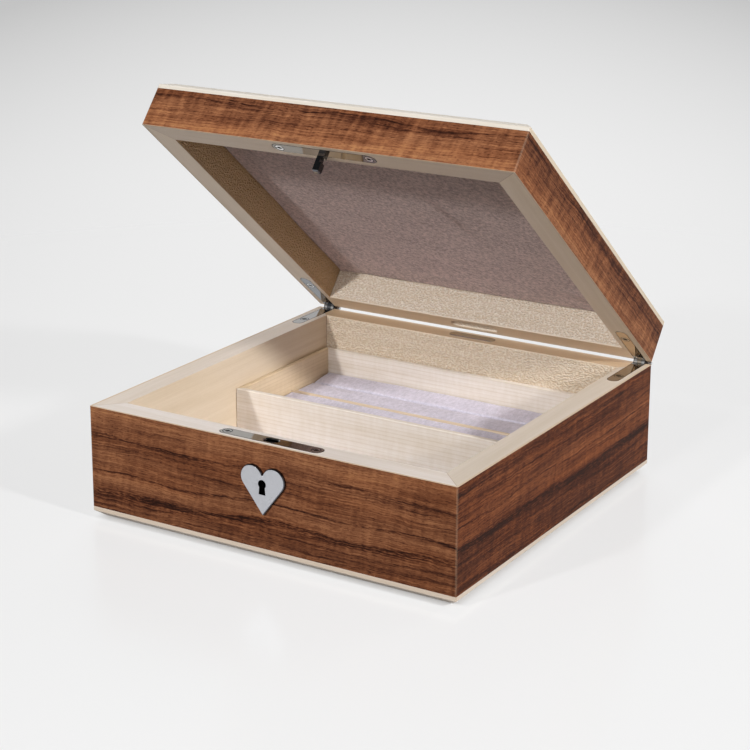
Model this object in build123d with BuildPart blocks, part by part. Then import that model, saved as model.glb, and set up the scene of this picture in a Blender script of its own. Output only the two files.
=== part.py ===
from build123d import *
from math import acos, atan2, cos, hypot, radians, sin
import os

# Square walnut box with a hinged lid, a sliding tray and a small box lock.
# Millimetres, +Z up. The origin is the centre of the underside and the front faces -Y.
# The base stands upright. The lid hangs open from the hinge axis, and its pieces are drawn
# on a plane laid on its own rim, which is the mirror image of the plane on the base's rim.

os.makedirs("parts", exist_ok=True)

# Case
case_width = 250.0
case_depth = 250.0
base_wall_height = 63.4
lid_wall_height = 25.2
board_thickness = 14.3
walnut_thickness = 1.2
corner_ease = 0.5
lid_open_angle = 39.3
closing_gap = 0.2

# Pale edging under the base and over the lid: an upright band, then a bevel
edging_band = 2.6
edging_bevel_height = 4.1
edging_bevel_depth = 5.5
plinth_width = 22.0
plinth_ledge_height = 3.0
lid_edging_width = 13.0
lid_edging_land = 2.0

# Panels and linings
felt_thickness = 0.5
felt_margin = 2.5
panel_clearance = 0.2
floor_flange_thickness = 5.0
floor_suede_thickness = 1.0
lining_clearance = 0.3
lid_panel_drop = 2.6
lid_lining_thickness = 3.3
lid_lining_edge = 1.4

# Tray
tray_depth = 107.0
tray_height = 38.6
tray_wall = 3.5
tray_side_clearance = 0.4
tray_running_gap = 0.2
tray_edge_ease = 0.5
tray_floor_raise = 2.5
tray_floor_thickness = 3.0
tray_groove_depth = 1.5
tray_fit = 0.1
front_pad_depth = 53.6
front_pad_height = 15.9
pad_edge = 0.8
divider_thickness = 1.6
divider_height = 16.1
roll_depth = 23.2
roll_edge_height = 15.4
roll_crown = 1.2
back_roll_rise = 1.8

# Hinges
hinge_set_back = 2.5
hinge_inset = 8.0
leaf_reach = 45.5
leaf_width = 8.0
leaf_thickness = 2.0
leaf_fit = 0.1
barrel_radius = 3.5
barrel_clearance = 0.3
middle_knuckle_length = 2.7
knuckle_gap = 0.15
hinge_pin_radius = 1.1
hinge_pin_fit = 0.05
hinge_pin_head = 0.4
hinge_pin_tail = 3.0
hinge_screw_reach = 34.0

# Screws
screw_head_radius = 2.5
screw_shank_radius = 1.3
screw_length = 14.0
screw_point = 3.0
screw_slot_width = 0.7
screw_slot_depth = 0.8
screw_fit = 0.05

# Lock and catch, with heights measured down from the rim of the base
plate_length = 70.0
plate_width = 9.0
plate_thickness = 2.0
plate_fit = 0.1
plate_edge = 0.3
plate_screw_inset = 4.8
lock_slot_length = 9.6
lock_slot_width = 5.6
lock_slot_bevel = 0.6
post_width = 4.2
post_length = 12.5
post_tip = 0.8
post_notch_start = 3.4
post_notch_height = 3.2
post_notch_depth = 1.6
post_seat_fit = 0.02
case_length = 38.0
lock_depth = 9.0
case_foot_margin = 1.8
case_wall = 1.2
mortise_fit = 0.2
bolt_thickness = 2.4
bolt_travel = 2.0
bolt_clearance = 0.3
bolt_post_clearance = 0.6
bolt_shoulder = 5.0
bolt_length = 23.0
bolt_tail = 16.0
bolt_body_height = 12.5
bolt_arm_height = 4.2
talon_width = 5.0
talon_depth = 2.2
stud_radius = 1.0
stud_fit = 0.1
stud_offset = 9.5
stud_heights = (6.0, 12.0)
key_height = 23.5
key_pin_radius = 1.0
key_pin_length = 4.6
spring_thickness = 0.4
spring_width = 3.0
spring_foot_inset = 0.5
spring_span = 7.8
spring_slope = 1.0
spring_bend = 1.2

# Keyhole and escutcheon
keyhole_radius = 2.7
keyhole_drop = 6.3
keyhole_waist = 1.75
keyhole_foot = 2.35
keyhole_margin = 0.4
plate_screw_reach = plate_length / 2 - plate_screw_inset
case_height = key_height + keyhole_drop + keyhole_margin + case_foot_margin - plate_thickness
heart_lobe_radius = 7.6
heart_lobe_offset = 7.35
heart_cleft_radius = 0.4
heart_lobe_height = 20.5
heart_tip_height = 42.5
heart_thickness = 2.0
heart_bevel = 0.6

# Plain oval plate let into the back rim, and its clearance in the lid
rear_plate_length = 33.5
rear_plate_width = 7.0
rear_plate_thickness = 1.6
rear_plate_sink = 1.0
rear_recess_margin = 0.4
rear_recess_depth = 1.2

# What follows from them
wall = board_thickness + walnut_thickness
half_width = case_width / 2
half_depth = case_depth / 2
edging_height = edging_band + edging_bevel_height
rim_height = felt_thickness + edging_height + base_wall_height
inner_half_width = half_width - wall
inner_half_depth = half_depth - wall
hinge_axis_y = half_depth + hinge_set_back
hinge_axis_z = rim_height + closing_gap / 2
rail_line = half_depth - wall / 2
floor_top = felt_thickness + plinth_ledge_height + floor_flange_thickness
suede_top = floor_top + floor_suede_thickness
hinge_x = half_width - hinge_inset
hinge_screw_y = hinge_axis_y - hinge_screw_reach
hinge_screw_points = [(-hinge_x, hinge_screw_y), (hinge_x, hinge_screw_y)]
plate_screw_points = [(-plate_screw_reach, -rail_line), (plate_screw_reach, -rail_line)]
screw_hole_radius = screw_shank_radius + screw_fit
open_angle = radians(lid_open_angle)

base_face = Plane(origin=(0, 0, rim_height))
hinge_plane = Plane(
    origin=(0, hinge_axis_y, hinge_axis_z), x_dir=(1, 0, 0), z_dir=(0, sin(open_angle), cos(open_angle))
)
lid_face = Plane(
    origin=hinge_plane.from_local_coords((0, -hinge_axis_y, closing_gap / 2)),
    x_dir=(-1, 0, 0),
    z_dir=-hinge_plane.z_dir,
)

# Quarter turns that bring each side of a frame to the front of its own plane
base_turns = {side: 90 * turn for turn, side in enumerate(("front", "right", "back", "left"))}
lid_turns = {side: 90 * turn for turn, side in enumerate(("front", "left", "back", "right"))}


def keep(piece, name):
    """Label a finished piece and write it as one STEP file."""
    piece.part.label = name
    export_step(piece.part, f"parts/{name}.step")


def shifted(plane, x=0.0, y=0.0, z=0.0):
    """The same plane with its origin moved in its own axes."""
    return Plane(origin=plane.from_local_coords((x, y, z)), x_dir=plane.x_dir, z_dir=plane.z_dir)


def side_plane(face, turn, width, depth):
    """Plane at the outer top edge of one side: x along the side, y inwards, z out of the rim."""
    reach = depth if turn in (0, 180) else width
    along = face.x_dir * cos(radians(turn)) + face.y_dir * sin(radians(turn))
    return shifted(Plane(origin=face.origin, x_dir=along, z_dir=face.z_dir), y=-reach)


def side_half_length(turn, width, depth):
    """Half the outer length of one side of a rectangular frame."""
    return width if turn in (0, 180) else depth


def mitred_strip(half_length, outer, inner, ease=0.0):
    """One side of a mitred frame in plan, between two depths, with its outer corners eased."""
    corner = half_length - outer
    edge = [(corner - ease, outer), (corner - ease / 2, outer + ease / 2)] if ease else [(corner, outer)]
    right = edge + [(half_length - inner, inner)]
    left = [(-x, y) for x, y in reversed(right)]
    Polygon(*right, *left, align=None)


def leaf_outline(x, margin=0.0):
    """Hinge leaf in plan, from the pin axis to its round tip."""
    radius = leaf_width / 2 + margin
    tip_centre = hinge_axis_y - leaf_reach + leaf_width / 2
    with Locations((x, tip_centre)):
        Circle(radius)
    with Locations((x, (tip_centre + hinge_axis_y) / 2)):
        Rectangle(2 * radius, hinge_axis_y - tip_centre)


def keyhole_outline(margin=0.0):
    """Round head with a flared skirt, on a plane whose origin is at rim height."""
    with Locations((0, -key_height)):
        Circle(keyhole_radius + margin)
    foot = -key_height - keyhole_drop - margin
    waist_half = keyhole_waist + margin
    foot_half = keyhole_foot + margin
    Polygon(
        (-waist_half, -key_height), (waist_half, -key_height), (foot_half, foot), (-foot_half, foot), align=None
    )


def front_plane(y):
    """Upright plane facing the front, with its origin at rim height."""
    return Plane(origin=(0, y, rim_height), x_dir=(1, 0, 0), z_dir=(0, -1, 0))


def screw_bores(face, points):
    """Bores for the screw shanks, as part of what is cut out behind a face."""
    with Locations(*[shifted(face, x, y) for x, y in points]):
        Cylinder(screw_hole_radius, screw_length + screw_fit, align=(Align.CENTER, Align.CENTER, Align.MAX))


# ---------------------------------------------------------------- what is cut out of the woodwork
hinge_recesses = {}
plate_recesses = {}
for half, face in {"base": base_face, "lid": lid_face}.items():
    with BuildPart() as hinge_recess:
        with BuildSketch(face):
            for x in (-hinge_x, hinge_x):
                leaf_outline(x, leaf_fit)
        extrude(amount=-leaf_thickness)
        for x in (-hinge_x, hinge_x):
            with BuildSketch(Plane.YZ.offset(x - leaf_width / 2 - leaf_fit)):
                with Locations((hinge_axis_y, hinge_axis_z)):
                    Circle(barrel_radius + barrel_clearance)
            extrude(amount=leaf_width + 2 * leaf_fit)
        screw_bores(face, hinge_screw_points)
    hinge_recesses[half] = hinge_recess.part

    with BuildPart() as plate_recess:
        with BuildSketch(face):
            with Locations((0, -rail_line)):
                SlotOverall(plate_length + 2 * plate_fit, plate_width + 2 * plate_fit)
        extrude(amount=-plate_thickness)
        screw_bores(face, plate_screw_points)
    plate_recesses[half] = plate_recess.part

with BuildPart() as lock_mortise:
    with BuildSketch(shifted(base_face, y=-rail_line, z=-plate_thickness)):
        Rectangle(case_length + 2 * mortise_fit, lock_depth + 2 * mortise_fit)
    extrude(amount=-(case_height + mortise_fit))

with BuildPart() as keyhole_passage:
    with BuildSketch(front_plane(-rail_line)):
        keyhole_outline(keyhole_margin)
    extrude(amount=wall)

with BuildPart() as rear_plate_recess:
    with BuildSketch(shifted(base_face, y=rail_line)):
        SlotOverall(rear_plate_length + 2 * plate_fit, rear_plate_width + 2 * plate_fit)
    extrude(amount=-rear_plate_sink)

with BuildPart() as rear_plate_clearance:
    with BuildSketch(shifted(lid_face, y=rail_line)):
        SlotOverall(rear_plate_length + 2 * rear_recess_margin, rear_plate_width + 2 * rear_recess_margin)
    extrude(amount=-rear_recess_depth)

base_cuts = {
    "front": [plate_recesses["base"], lock_mortise.part, keyhole_passage.part],
    "back": [hinge_recesses["base"], rear_plate_recess.part],
    "left": [hinge_recesses["base"]],
    "right": [hinge_recesses["base"]],
}
lid_cuts = {
    "front": [plate_recesses["lid"]],
    "back": [hinge_recesses["lid"], rear_plate_clearance.part],
    "left": [hinge_recesses["lid"]],
    "right": [hinge_recesses["lid"]],
}

# ---------------------------------------------------------------- mitred boards and walnut faces
halves = {
    "base": (base_face, base_turns, base_wall_height, base_cuts),
    "lid": (lid_face, lid_turns, lid_wall_height, lid_cuts),
}
for half, (face, turns, wall_height, cuts) in halves.items():
    for side, turn in turns.items():
        plane = side_plane(face, turn, half_width, half_depth)
        half_length = side_half_length(turn, half_width, half_depth)

        with BuildPart() as board:
            with BuildSketch(plane):
                mitred_strip(half_length, walnut_thickness, wall)
            extrude(amount=-wall_height)
            for cut in cuts[side]:
                add(cut, mode=Mode.SUBTRACT)
        keep(board, f"{half}_{side}_board")

        with BuildPart() as walnut:
            with BuildSketch(plane):
                mitred_strip(half_length, 0, walnut_thickness, corner_ease)
            extrude(amount=-wall_height)
            for cut in cuts[side]:
                add(cut, mode=Mode.SUBTRACT)
        keep(walnut, f"{half}_{side}_walnut")

# ---------------------------------------------------------------- bevelled pale edging
base_foot = -(base_wall_height + edging_height)
plinth_ledge = base_foot + plinth_ledge_height
plinth_section = [
    (0, -base_wall_height),
    (0, -base_wall_height - edging_band),
    (edging_bevel_depth, base_foot),
    (plinth_width, base_foot),
    (plinth_width, plinth_ledge),
    (wall, plinth_ledge),
    (wall, -base_wall_height),
]
lid_crown = -(lid_wall_height + edging_height)
veneer_seat = lid_crown + walnut_thickness
veneer_inset = edging_bevel_depth + lid_edging_land
lid_edging_section = [
    (0, -lid_wall_height),
    (0, -lid_wall_height - edging_band),
    (edging_bevel_depth, lid_crown),
    (veneer_inset, lid_crown),
    (veneer_inset, veneer_seat),
    (lid_edging_width, veneer_seat),
    (lid_edging_width, -lid_wall_height),
]
edgings = {
    "plinth": (base_face, base_turns, plinth_section, plinth_width),
    "lid_edging": (lid_face, lid_turns, lid_edging_section, lid_edging_width),
}
for name, (face, turns, section, width) in edgings.items():
    for side, turn in turns.items():
        plane = side_plane(face, turn, half_width, half_depth)
        half_length = side_half_length(turn, half_width, half_depth)
        with BuildPart() as edging:
            with BuildSketch(Plane(origin=plane.origin, x_dir=plane.y_dir, z_dir=plane.x_dir)):
                Polygon(*section, align=None)
            extrude(amount=half_length, both=True)
            with BuildSketch(plane):
                mitred_strip(half_length, 0, width, corner_ease)
            extrude(amount=min(height for _, height in section), mode=Mode.INTERSECT)
        keep(edging, f"{name}_{side}")

# ---------------------------------------------------------------- floor of the base
with BuildPart() as base_felt:
    with BuildSketch():
        felt_inset = edging_bevel_depth + felt_margin
        Rectangle(case_width - 2 * felt_inset, case_depth - 2 * felt_inset)
    extrude(amount=felt_thickness)
keep(base_felt, "base_felt")

with BuildPart() as base_floor_panel:
    with BuildSketch(Plane.XY.offset(felt_thickness)):
        tongue_inset = plinth_width + panel_clearance
        Rectangle(case_width - 2 * tongue_inset, case_depth - 2 * tongue_inset)
    extrude(amount=plinth_ledge_height)
    with BuildSketch(Plane.XY.offset(felt_thickness + plinth_ledge_height)):
        Rectangle(2 * (inner_half_width - panel_clearance), 2 * (inner_half_depth - panel_clearance))
    extrude(amount=floor_flange_thickness)
keep(base_floor_panel, "base_floor_panel")

with BuildPart() as base_floor_suede:
    with BuildSketch(Plane.XY.offset(floor_top)):
        Rectangle(2 * (inner_half_width - lining_clearance), 2 * (inner_half_depth - lining_clearance))
    extrude(amount=floor_suede_thickness)
keep(base_floor_suede, "base_floor_suede")

# ---------------------------------------------------------------- top of the lid
lid_panel_seat = shifted(lid_face, z=-lid_wall_height)
lid_panel_under = shifted(lid_panel_seat, z=lid_panel_drop)
with BuildPart() as lid_top_panel:
    with BuildSketch(lid_panel_seat):
        flange_inset = lid_edging_width + panel_clearance
        Rectangle(case_width - 2 * flange_inset, case_depth - 2 * flange_inset)
    extrude(amount=-(edging_height - walnut_thickness))
    with BuildSketch(lid_panel_under):
        Rectangle(2 * (inner_half_width - panel_clearance), 2 * (inner_half_depth - panel_clearance))
    extrude(amount=-lid_panel_drop)
keep(lid_top_panel, "lid_top_panel")

with BuildPart() as lid_top_walnut:
    with BuildSketch(shifted(lid_face, z=veneer_seat)):
        Rectangle(case_width - 2 * veneer_inset, case_depth - 2 * veneer_inset)
    extrude(amount=-walnut_thickness)
keep(lid_top_walnut, "lid_top_walnut")

with BuildPart() as lid_suede_pad:
    with BuildSketch(lid_panel_under):
        Rectangle(2 * (inner_half_width - lining_clearance), 2 * (inner_half_depth - lining_clearance))
    extrude(amount=lid_lining_thickness)
    fillet(lid_suede_pad.faces().sort_by(Axis(lid_face.origin, lid_face.z_dir))[-1].edges(), lid_lining_edge)
keep(lid_suede_pad, "lid_suede_pad")


# ---------------------------------------------------------------- screws
def countersunk_screws(face, points):
    """Slotted countersunk screws, heads flush with a face, as separate solids of one piece."""
    with BuildPart() as screw:
        with BuildSketch(Plane.XZ):
            Polygon(
                (0, 0),
                (screw_head_radius, 0),
                (screw_shank_radius, screw_shank_radius - screw_head_radius),
                (screw_shank_radius, screw_point - screw_length),
                (0, -screw_length),
                align=None,
            )
        revolve(axis=Axis.Z)
        with BuildSketch():
            Rectangle(2 * screw_head_radius, screw_slot_width)
        extrude(amount=-screw_slot_depth, mode=Mode.SUBTRACT)
    with BuildPart() as group:
        with Locations(*[shifted(face, x, y) for x, y in points]):
            add(screw.part)
    return group


def countersink(face, points):
    """Screw seats through a plate that lies in a face."""
    with Locations(*[shifted(face, x, y) for x, y in points]):
        CounterSinkHole(screw_hole_radius, screw_head_radius + screw_fit, counter_sink_angle=90)


keep(countersunk_screws(base_face, hinge_screw_points), "hinge_base_screws")
keep(countersunk_screws(lid_face, hinge_screw_points), "hinge_lid_screws")
keep(countersunk_screws(base_face, plate_screw_points), "lock_screws")
keep(countersunk_screws(lid_face, plate_screw_points), "catch_screws")

# ---------------------------------------------------------------- hinges
knuckle_space = middle_knuckle_length + 2 * knuckle_gap
outer_knuckle_length = (leaf_width - knuckle_space) / 2
bore_radius = hinge_pin_radius + hinge_pin_fit
for side, x in {"left": -hinge_x, "right": hinge_x}.items():
    outer_starts = (x - leaf_width / 2, x + knuckle_space / 2)

    with BuildPart() as base_leaf:
        with BuildSketch(base_face):
            leaf_outline(x)
        extrude(amount=-leaf_thickness)
        with BuildSketch(Plane.YZ.offset(x - leaf_width / 2)):
            with Locations((hinge_axis_y, hinge_axis_z)):
                Circle(barrel_radius)
        extrude(amount=leaf_width)
        with BuildSketch(Plane.YZ.offset(x - knuckle_space / 2)):
            with Locations((hinge_axis_y, hinge_axis_z)):
                Circle(barrel_radius + barrel_clearance)
        extrude(amount=knuckle_space, mode=Mode.SUBTRACT)
        with BuildSketch(Plane.YZ.offset(x - leaf_width / 2)):
            with Locations((hinge_axis_y, hinge_axis_z)):
                Circle(bore_radius)
        extrude(amount=leaf_width, mode=Mode.SUBTRACT)
        countersink(base_face, [(x, hinge_screw_y)])
    keep(base_leaf, f"{side}_hinge_base_leaf")

    with BuildPart() as lid_leaf:
        with BuildSketch(lid_face):
            leaf_outline(-x)
        extrude(amount=-leaf_thickness)
        for start in outer_starts:
            with BuildSketch(Plane.YZ.offset(start)):
                with Locations((hinge_axis_y, hinge_axis_z)):
                    Circle(barrel_radius + barrel_clearance)
            extrude(amount=outer_knuckle_length, mode=Mode.SUBTRACT)
        with BuildSketch(Plane.YZ.offset(x - knuckle_space / 2)):
            with Locations((hinge_axis_y, hinge_axis_z)):
                Circle(barrel_radius + barrel_clearance)
        extrude(amount=knuckle_gap, mode=Mode.SUBTRACT)
        with BuildSketch(Plane.YZ.offset(x + middle_knuckle_length / 2)):
            with Locations((hinge_axis_y, hinge_axis_z)):
                Circle(barrel_radius + barrel_clearance)
        extrude(amount=knuckle_gap, mode=Mode.SUBTRACT)
        with BuildSketch(Plane.YZ.offset(x - middle_knuckle_length / 2)):
            with Locations((hinge_axis_y, hinge_axis_z)):
                Circle(barrel_radius)
        extrude(amount=middle_knuckle_length)
        with BuildSketch(Plane.YZ.offset(x - leaf_width / 2)):
            with Locations((hinge_axis_y, hinge_axis_z)):
                Circle(bore_radius)
        extrude(amount=leaf_width, mode=Mode.SUBTRACT)
        countersink(lid_face, [(-x, hinge_screw_y)])
    keep(lid_leaf, f"{side}_hinge_lid_leaf")

    with BuildPart() as hinge_pin:
        with BuildSketch(Plane.YZ.offset(x - leaf_width / 2 - hinge_pin_head)):
            with Locations((hinge_axis_y, hinge_axis_z)):
                Circle(hinge_pin_radius)
        extrude(amount=leaf_width + hinge_pin_head + hinge_pin_tail)
    keep(hinge_pin, f"{side}_hinge_pin")

# ---------------------------------------------------------------- lock
lock_front_y = -rail_line - lock_depth / 2
lock_back_y = -rail_line + lock_depth / 2
case_top = -plate_thickness
case_inner_length = case_length - 2 * case_wall

with BuildPart() as lock_plate:
    with BuildSketch(shifted(base_face, y=-rail_line)):
        SlotOverall(plate_length, plate_width)
    extrude(amount=-plate_thickness)
    chamfer(lock_plate.faces().sort_by(Axis.Z)[-1].edges(), plate_edge)
    with BuildSketch(shifted(base_face, y=-rail_line)):
        SlotOverall(lock_slot_length, lock_slot_width)
    extrude(amount=-plate_thickness, mode=Mode.SUBTRACT)
    slot_edges = lock_plate.faces().sort_by(Axis.Z)[-1].inner_wires()[0].edges()
    chamfer(slot_edges, lock_slot_bevel)
    countersink(base_face, plate_screw_points)
keep(lock_plate, "lock_plate")

with BuildPart() as lock_case:
    with BuildSketch(front_plane(lock_back_y)):
        with Locations((0, case_top - case_height / 2)):
            Rectangle(case_length, case_height)
    extrude(amount=lock_depth - case_wall)
    with BuildSketch(front_plane(lock_back_y - case_wall)):
        with Locations((0, case_top - (case_height - case_wall) / 2)):
            Rectangle(case_inner_length, case_height - case_wall)
    extrude(amount=lock_depth, mode=Mode.SUBTRACT)
keep(lock_case, "lock_case")

with BuildPart() as lock_cap:
    with BuildSketch(front_plane(lock_front_y + case_wall)):
        with Locations((0, case_top - case_height / 2)):
            Rectangle(case_length, case_height)
    extrude(amount=case_wall)
    with BuildSketch(front_plane(lock_front_y + case_wall)):
        keyhole_outline(keyhole_margin)
    extrude(amount=case_wall, mode=Mode.SUBTRACT)
keep(lock_cap, "lock_cap")

case_back_face = front_plane(lock_back_y - case_wall)
case_inner_depth = lock_depth - 2 * case_wall
with BuildPart() as lock_studs:
    with BuildSketch(case_back_face):
        with Locations(*[(stud_offset, -height) for height in stud_heights]):
            Circle(stud_radius)
    extrude(amount=case_inner_depth)
keep(lock_studs, "lock_studs")

with BuildPart() as lock_key_pin:
    with BuildSketch(case_back_face):
        with Locations((0, -key_height)):
            Circle(key_pin_radius)
    extrude(amount=key_pin_length)
keep(lock_key_pin, "lock_key_pin")

notch_top = closing_gap - post_notch_start
notch_bottom = notch_top - post_notch_height
nose_top = notch_top - bolt_clearance
nose_bottom = notch_bottom + bolt_clearance
nose_x = post_width / 2 + bolt_post_clearance
body_top = case_top - bolt_clearance
body_bottom = body_top - bolt_body_height
arm_bottom = body_bottom - bolt_arm_height
with BuildPart() as lock_bolt:
    with BuildSketch(front_plane(-rail_line + bolt_thickness / 2)):
        Polygon(
            (nose_x, nose_top),
            (bolt_shoulder, nose_top),
            (bolt_shoulder, body_top),
            (bolt_tail, body_top),
            (bolt_tail, arm_bottom),
            (bolt_tail - bolt_length, arm_bottom),
            (bolt_tail - bolt_length, body_bottom),
            (bolt_shoulder, body_bottom),
            (bolt_shoulder, nose_bottom),
            (nose_x, nose_bottom),
            align=None,
        )
        with Locations(*[(stud_offset + bolt_travel / 2, -height) for height in stud_heights]):
            SlotCenterToCenter(bolt_travel, 2 * (stud_radius + stud_fit), mode=Mode.SUBTRACT)
        with Locations((0, arm_bottom + talon_depth / 2)):
            Rectangle(talon_width, talon_depth, mode=Mode.SUBTRACT)
    extrude(amount=bolt_thickness)
keep(lock_bolt, "lock_bolt")

spring_foot = case_top - case_height + case_wall + bolt_clearance
spring_crest = arm_bottom - bolt_clearance - spring_thickness / 2
spring_right = case_inner_length / 2 - spring_foot_inset
with BuildPart() as lock_spring:
    with BuildSketch(front_plane(-rail_line + spring_width / 2)):
        with BuildLine():
            FilletPolyline(
                (spring_right, spring_foot),
                (spring_right, spring_crest - spring_slope),
                (spring_right - spring_span, spring_crest),
                radius=spring_bend,
            )
        trace(line_width=spring_thickness)
    extrude(amount=spring_width)
keep(lock_spring, "lock_spring")

# ---------------------------------------------------------------- heart escutcheon
lobe = (-heart_lobe_offset, -heart_lobe_height)
tip_drop = heart_tip_height - heart_lobe_height
tip_heading = atan2(-tip_drop, heart_lobe_offset)
side_angle = tip_heading - acos(heart_lobe_radius / hypot(heart_lobe_offset, tip_drop))
tip_half_angle = side_angle + radians(180)
cleft_reach = heart_lobe_radius + heart_cleft_radius
cleft_rise = (cleft_reach**2 - heart_lobe_offset**2) ** 0.5
cleft_angle = atan2(cleft_rise, heart_lobe_offset)
crown_angle = (side_angle + radians(360) + cleft_angle) / 2


def heart_outline(inset=0.0):
    """Two lobes joined by a small round cleft, with straight sides that run to a point."""
    lobe_radius = heart_lobe_radius - inset
    cleft_radius = heart_cleft_radius + inset
    cleft_centre_height = cleft_rise - heart_lobe_height

    def on_lobe(angle):
        return (lobe[0] + lobe_radius * cos(angle), lobe[1] + lobe_radius * sin(angle))

    def on_cleft(angle):
        return (cleft_radius * cos(angle), cleft_centre_height + cleft_radius * sin(angle))

    join_angle = cleft_angle + radians(180)
    bottom_angle = radians(270)
    with BuildLine() as outline:
        Line((0, inset / sin(tip_half_angle) - heart_tip_height), on_lobe(side_angle))
        ThreePointArc(on_lobe(side_angle), on_lobe(crown_angle), on_lobe(cleft_angle))
        ThreePointArc(on_cleft(join_angle), on_cleft((join_angle + bottom_angle) / 2), on_cleft(bottom_angle))
        mirror(about=Plane.YZ)
    make_face(outline.line.edges())


bevel_start = front_plane(-half_depth - heart_thickness + heart_bevel)
with BuildPart() as heart_escutcheon:
    with BuildSketch(front_plane(-half_depth)):
        heart_outline()
    extrude(amount=heart_thickness - heart_bevel)
    with BuildSketch(bevel_start):
        heart_outline()
    with BuildSketch(shifted(bevel_start, z=heart_bevel)):
        heart_outline(heart_bevel)
    loft()
    with BuildSketch(front_plane(-half_depth)):
        keyhole_outline()
    extrude(amount=heart_thickness, mode=Mode.SUBTRACT)
keep(heart_escutcheon, "heart_escutcheon")

# ---------------------------------------------------------------- catch on the lid
with BuildPart() as catch_plate:
    with BuildSketch(shifted(lid_face, y=-rail_line)):
        SlotOverall(plate_length, plate_width)
    extrude(amount=-plate_thickness)
    chamfer(catch_plate.faces().sort_by(Axis(lid_face.origin, lid_face.z_dir))[-1].edges(), plate_edge)
    with BuildSketch(shifted(lid_face, y=-rail_line)):
        Rectangle(post_width + 2 * post_seat_fit, post_width + 2 * post_seat_fit)
    extrude(amount=-plate_thickness, mode=Mode.SUBTRACT)
    countersink(lid_face, plate_screw_points)
keep(catch_plate, "catch_plate")

with BuildPart() as catch_post:
    with BuildSketch(shifted(lid_face, y=-rail_line, z=-plate_thickness)):
        Rectangle(post_width, post_width)
    extrude(amount=plate_thickness + post_length)
    chamfer(catch_post.faces().sort_by(Axis(lid_face.origin, lid_face.z_dir))[-1].edges(), post_tip)
    with BuildSketch(shifted(lid_face, y=-rail_line, z=post_notch_start)):
        with Locations(((post_notch_depth - post_width) / 2, 0)):
            Rectangle(post_notch_depth, post_width)
    extrude(amount=post_notch_height, mode=Mode.SUBTRACT)
keep(catch_post, "catch_post")

with BuildPart() as rear_plate:
    with BuildSketch(shifted(base_face, y=rail_line, z=-rear_plate_sink)):
        SlotOverall(rear_plate_length, rear_plate_width)
    extrude(amount=rear_plate_thickness)
    chamfer(rear_plate.faces().sort_by(Axis.Z)[-1].edges(), plate_edge)
keep(rear_plate, "rear_plate")

# ---------------------------------------------------------------- tray
tray_half_width = inner_half_width - tray_side_clearance
tray_half_depth = tray_depth / 2
tray_centre_y = inner_half_depth - tray_side_clearance - tray_half_depth
tray_bottom = suede_top + tray_running_gap
tray_face = Plane(origin=(0, tray_centre_y, tray_bottom + tray_height))
tray_floor_bottom = tray_bottom + tray_floor_raise
tray_floor_top = tray_floor_bottom + tray_floor_thickness
tray_inner_width = 2 * (tray_half_width - tray_wall)
tray_inner_front = tray_centre_y - tray_half_depth + tray_wall
tray_inner_back = tray_centre_y + tray_half_depth - tray_wall

with BuildPart() as tray_groove:
    with BuildSketch(Plane.XY.offset(tray_floor_bottom)):
        with Locations((0, tray_centre_y)):
            Rectangle(
                tray_inner_width + 2 * tray_groove_depth,
                tray_inner_back - tray_inner_front + 2 * tray_groove_depth,
            )
    extrude(amount=tray_floor_thickness)

for side, turn in base_turns.items():
    plane = side_plane(tray_face, turn, tray_half_width, tray_half_depth)
    half_length = side_half_length(turn, tray_half_width, tray_half_depth)
    with BuildPart() as tray_side:
        with BuildSketch(plane):
            mitred_strip(half_length, 0, tray_wall)
        extrude(amount=-tray_height)
        long_edges = tray_side.faces().sort_by(Axis.Z)[-1].edges().filter_by(Axis(plane.origin, plane.x_dir))
        chamfer(long_edges, tray_edge_ease)
        add(tray_groove.part, mode=Mode.SUBTRACT)
    keep(tray_side, f"tray_{side}")

with BuildPart() as tray_floor:
    with BuildSketch(Plane.XY.offset(tray_floor_bottom)):
        with Locations((0, tray_centre_y)):
            Rectangle(
                tray_inner_width + 2 * (tray_groove_depth - tray_fit),
                tray_inner_back - tray_inner_front + 2 * (tray_groove_depth - tray_fit),
            )
    extrude(amount=tray_floor_thickness)
keep(tray_floor, "tray_floor")

pad_length = tray_inner_width - 2 * lining_clearance
front_pad_start = tray_inner_front + lining_clearance
divider_start = front_pad_start + front_pad_depth + lining_clearance
with BuildPart() as tray_front_pad:
    with BuildSketch(Plane.XY.offset(tray_floor_top)):
        with Locations((0, front_pad_start + front_pad_depth / 2)):
            Rectangle(pad_length, front_pad_depth)
    extrude(amount=front_pad_height)
    fillet(tray_front_pad.faces().sort_by(Axis.Z)[-1].edges(), pad_edge)
keep(tray_front_pad, "tray_front_pad")

with BuildPart() as tray_divider:
    with BuildSketch(Plane.XY.offset(tray_floor_top)):
        with Locations((0, divider_start + divider_thickness / 2)):
            Rectangle(tray_inner_width - 2 * tray_fit, divider_thickness)
    extrude(amount=divider_height)
keep(tray_divider, "tray_divider")

front_roll_start = divider_start + divider_thickness + lining_clearance
back_roll_start = front_roll_start + roll_depth + lining_clearance
roll_edge = tray_floor_top + roll_edge_height
rolls = {
    "front": (front_roll_start, front_roll_start + roll_depth, roll_edge),
    "back": (back_roll_start, tray_inner_back - lining_clearance, roll_edge + back_roll_rise),
}
for place, (start, end, back_edge) in rolls.items():
    crest = ((start + end) / 2, (roll_edge + back_edge) / 2 + roll_crown)
    with BuildPart() as roll:
        with BuildSketch(Plane.YZ.offset(-pad_length / 2)):
            with BuildLine():
                Polyline((start, roll_edge), (start, tray_floor_top), (end, tray_floor_top), (end, back_edge))
                ThreePointArc((end, back_edge), crest, (start, roll_edge))
            make_face()
        extrude(amount=pad_length)
    keep(roll, f"tray_{place}_roll")
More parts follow.
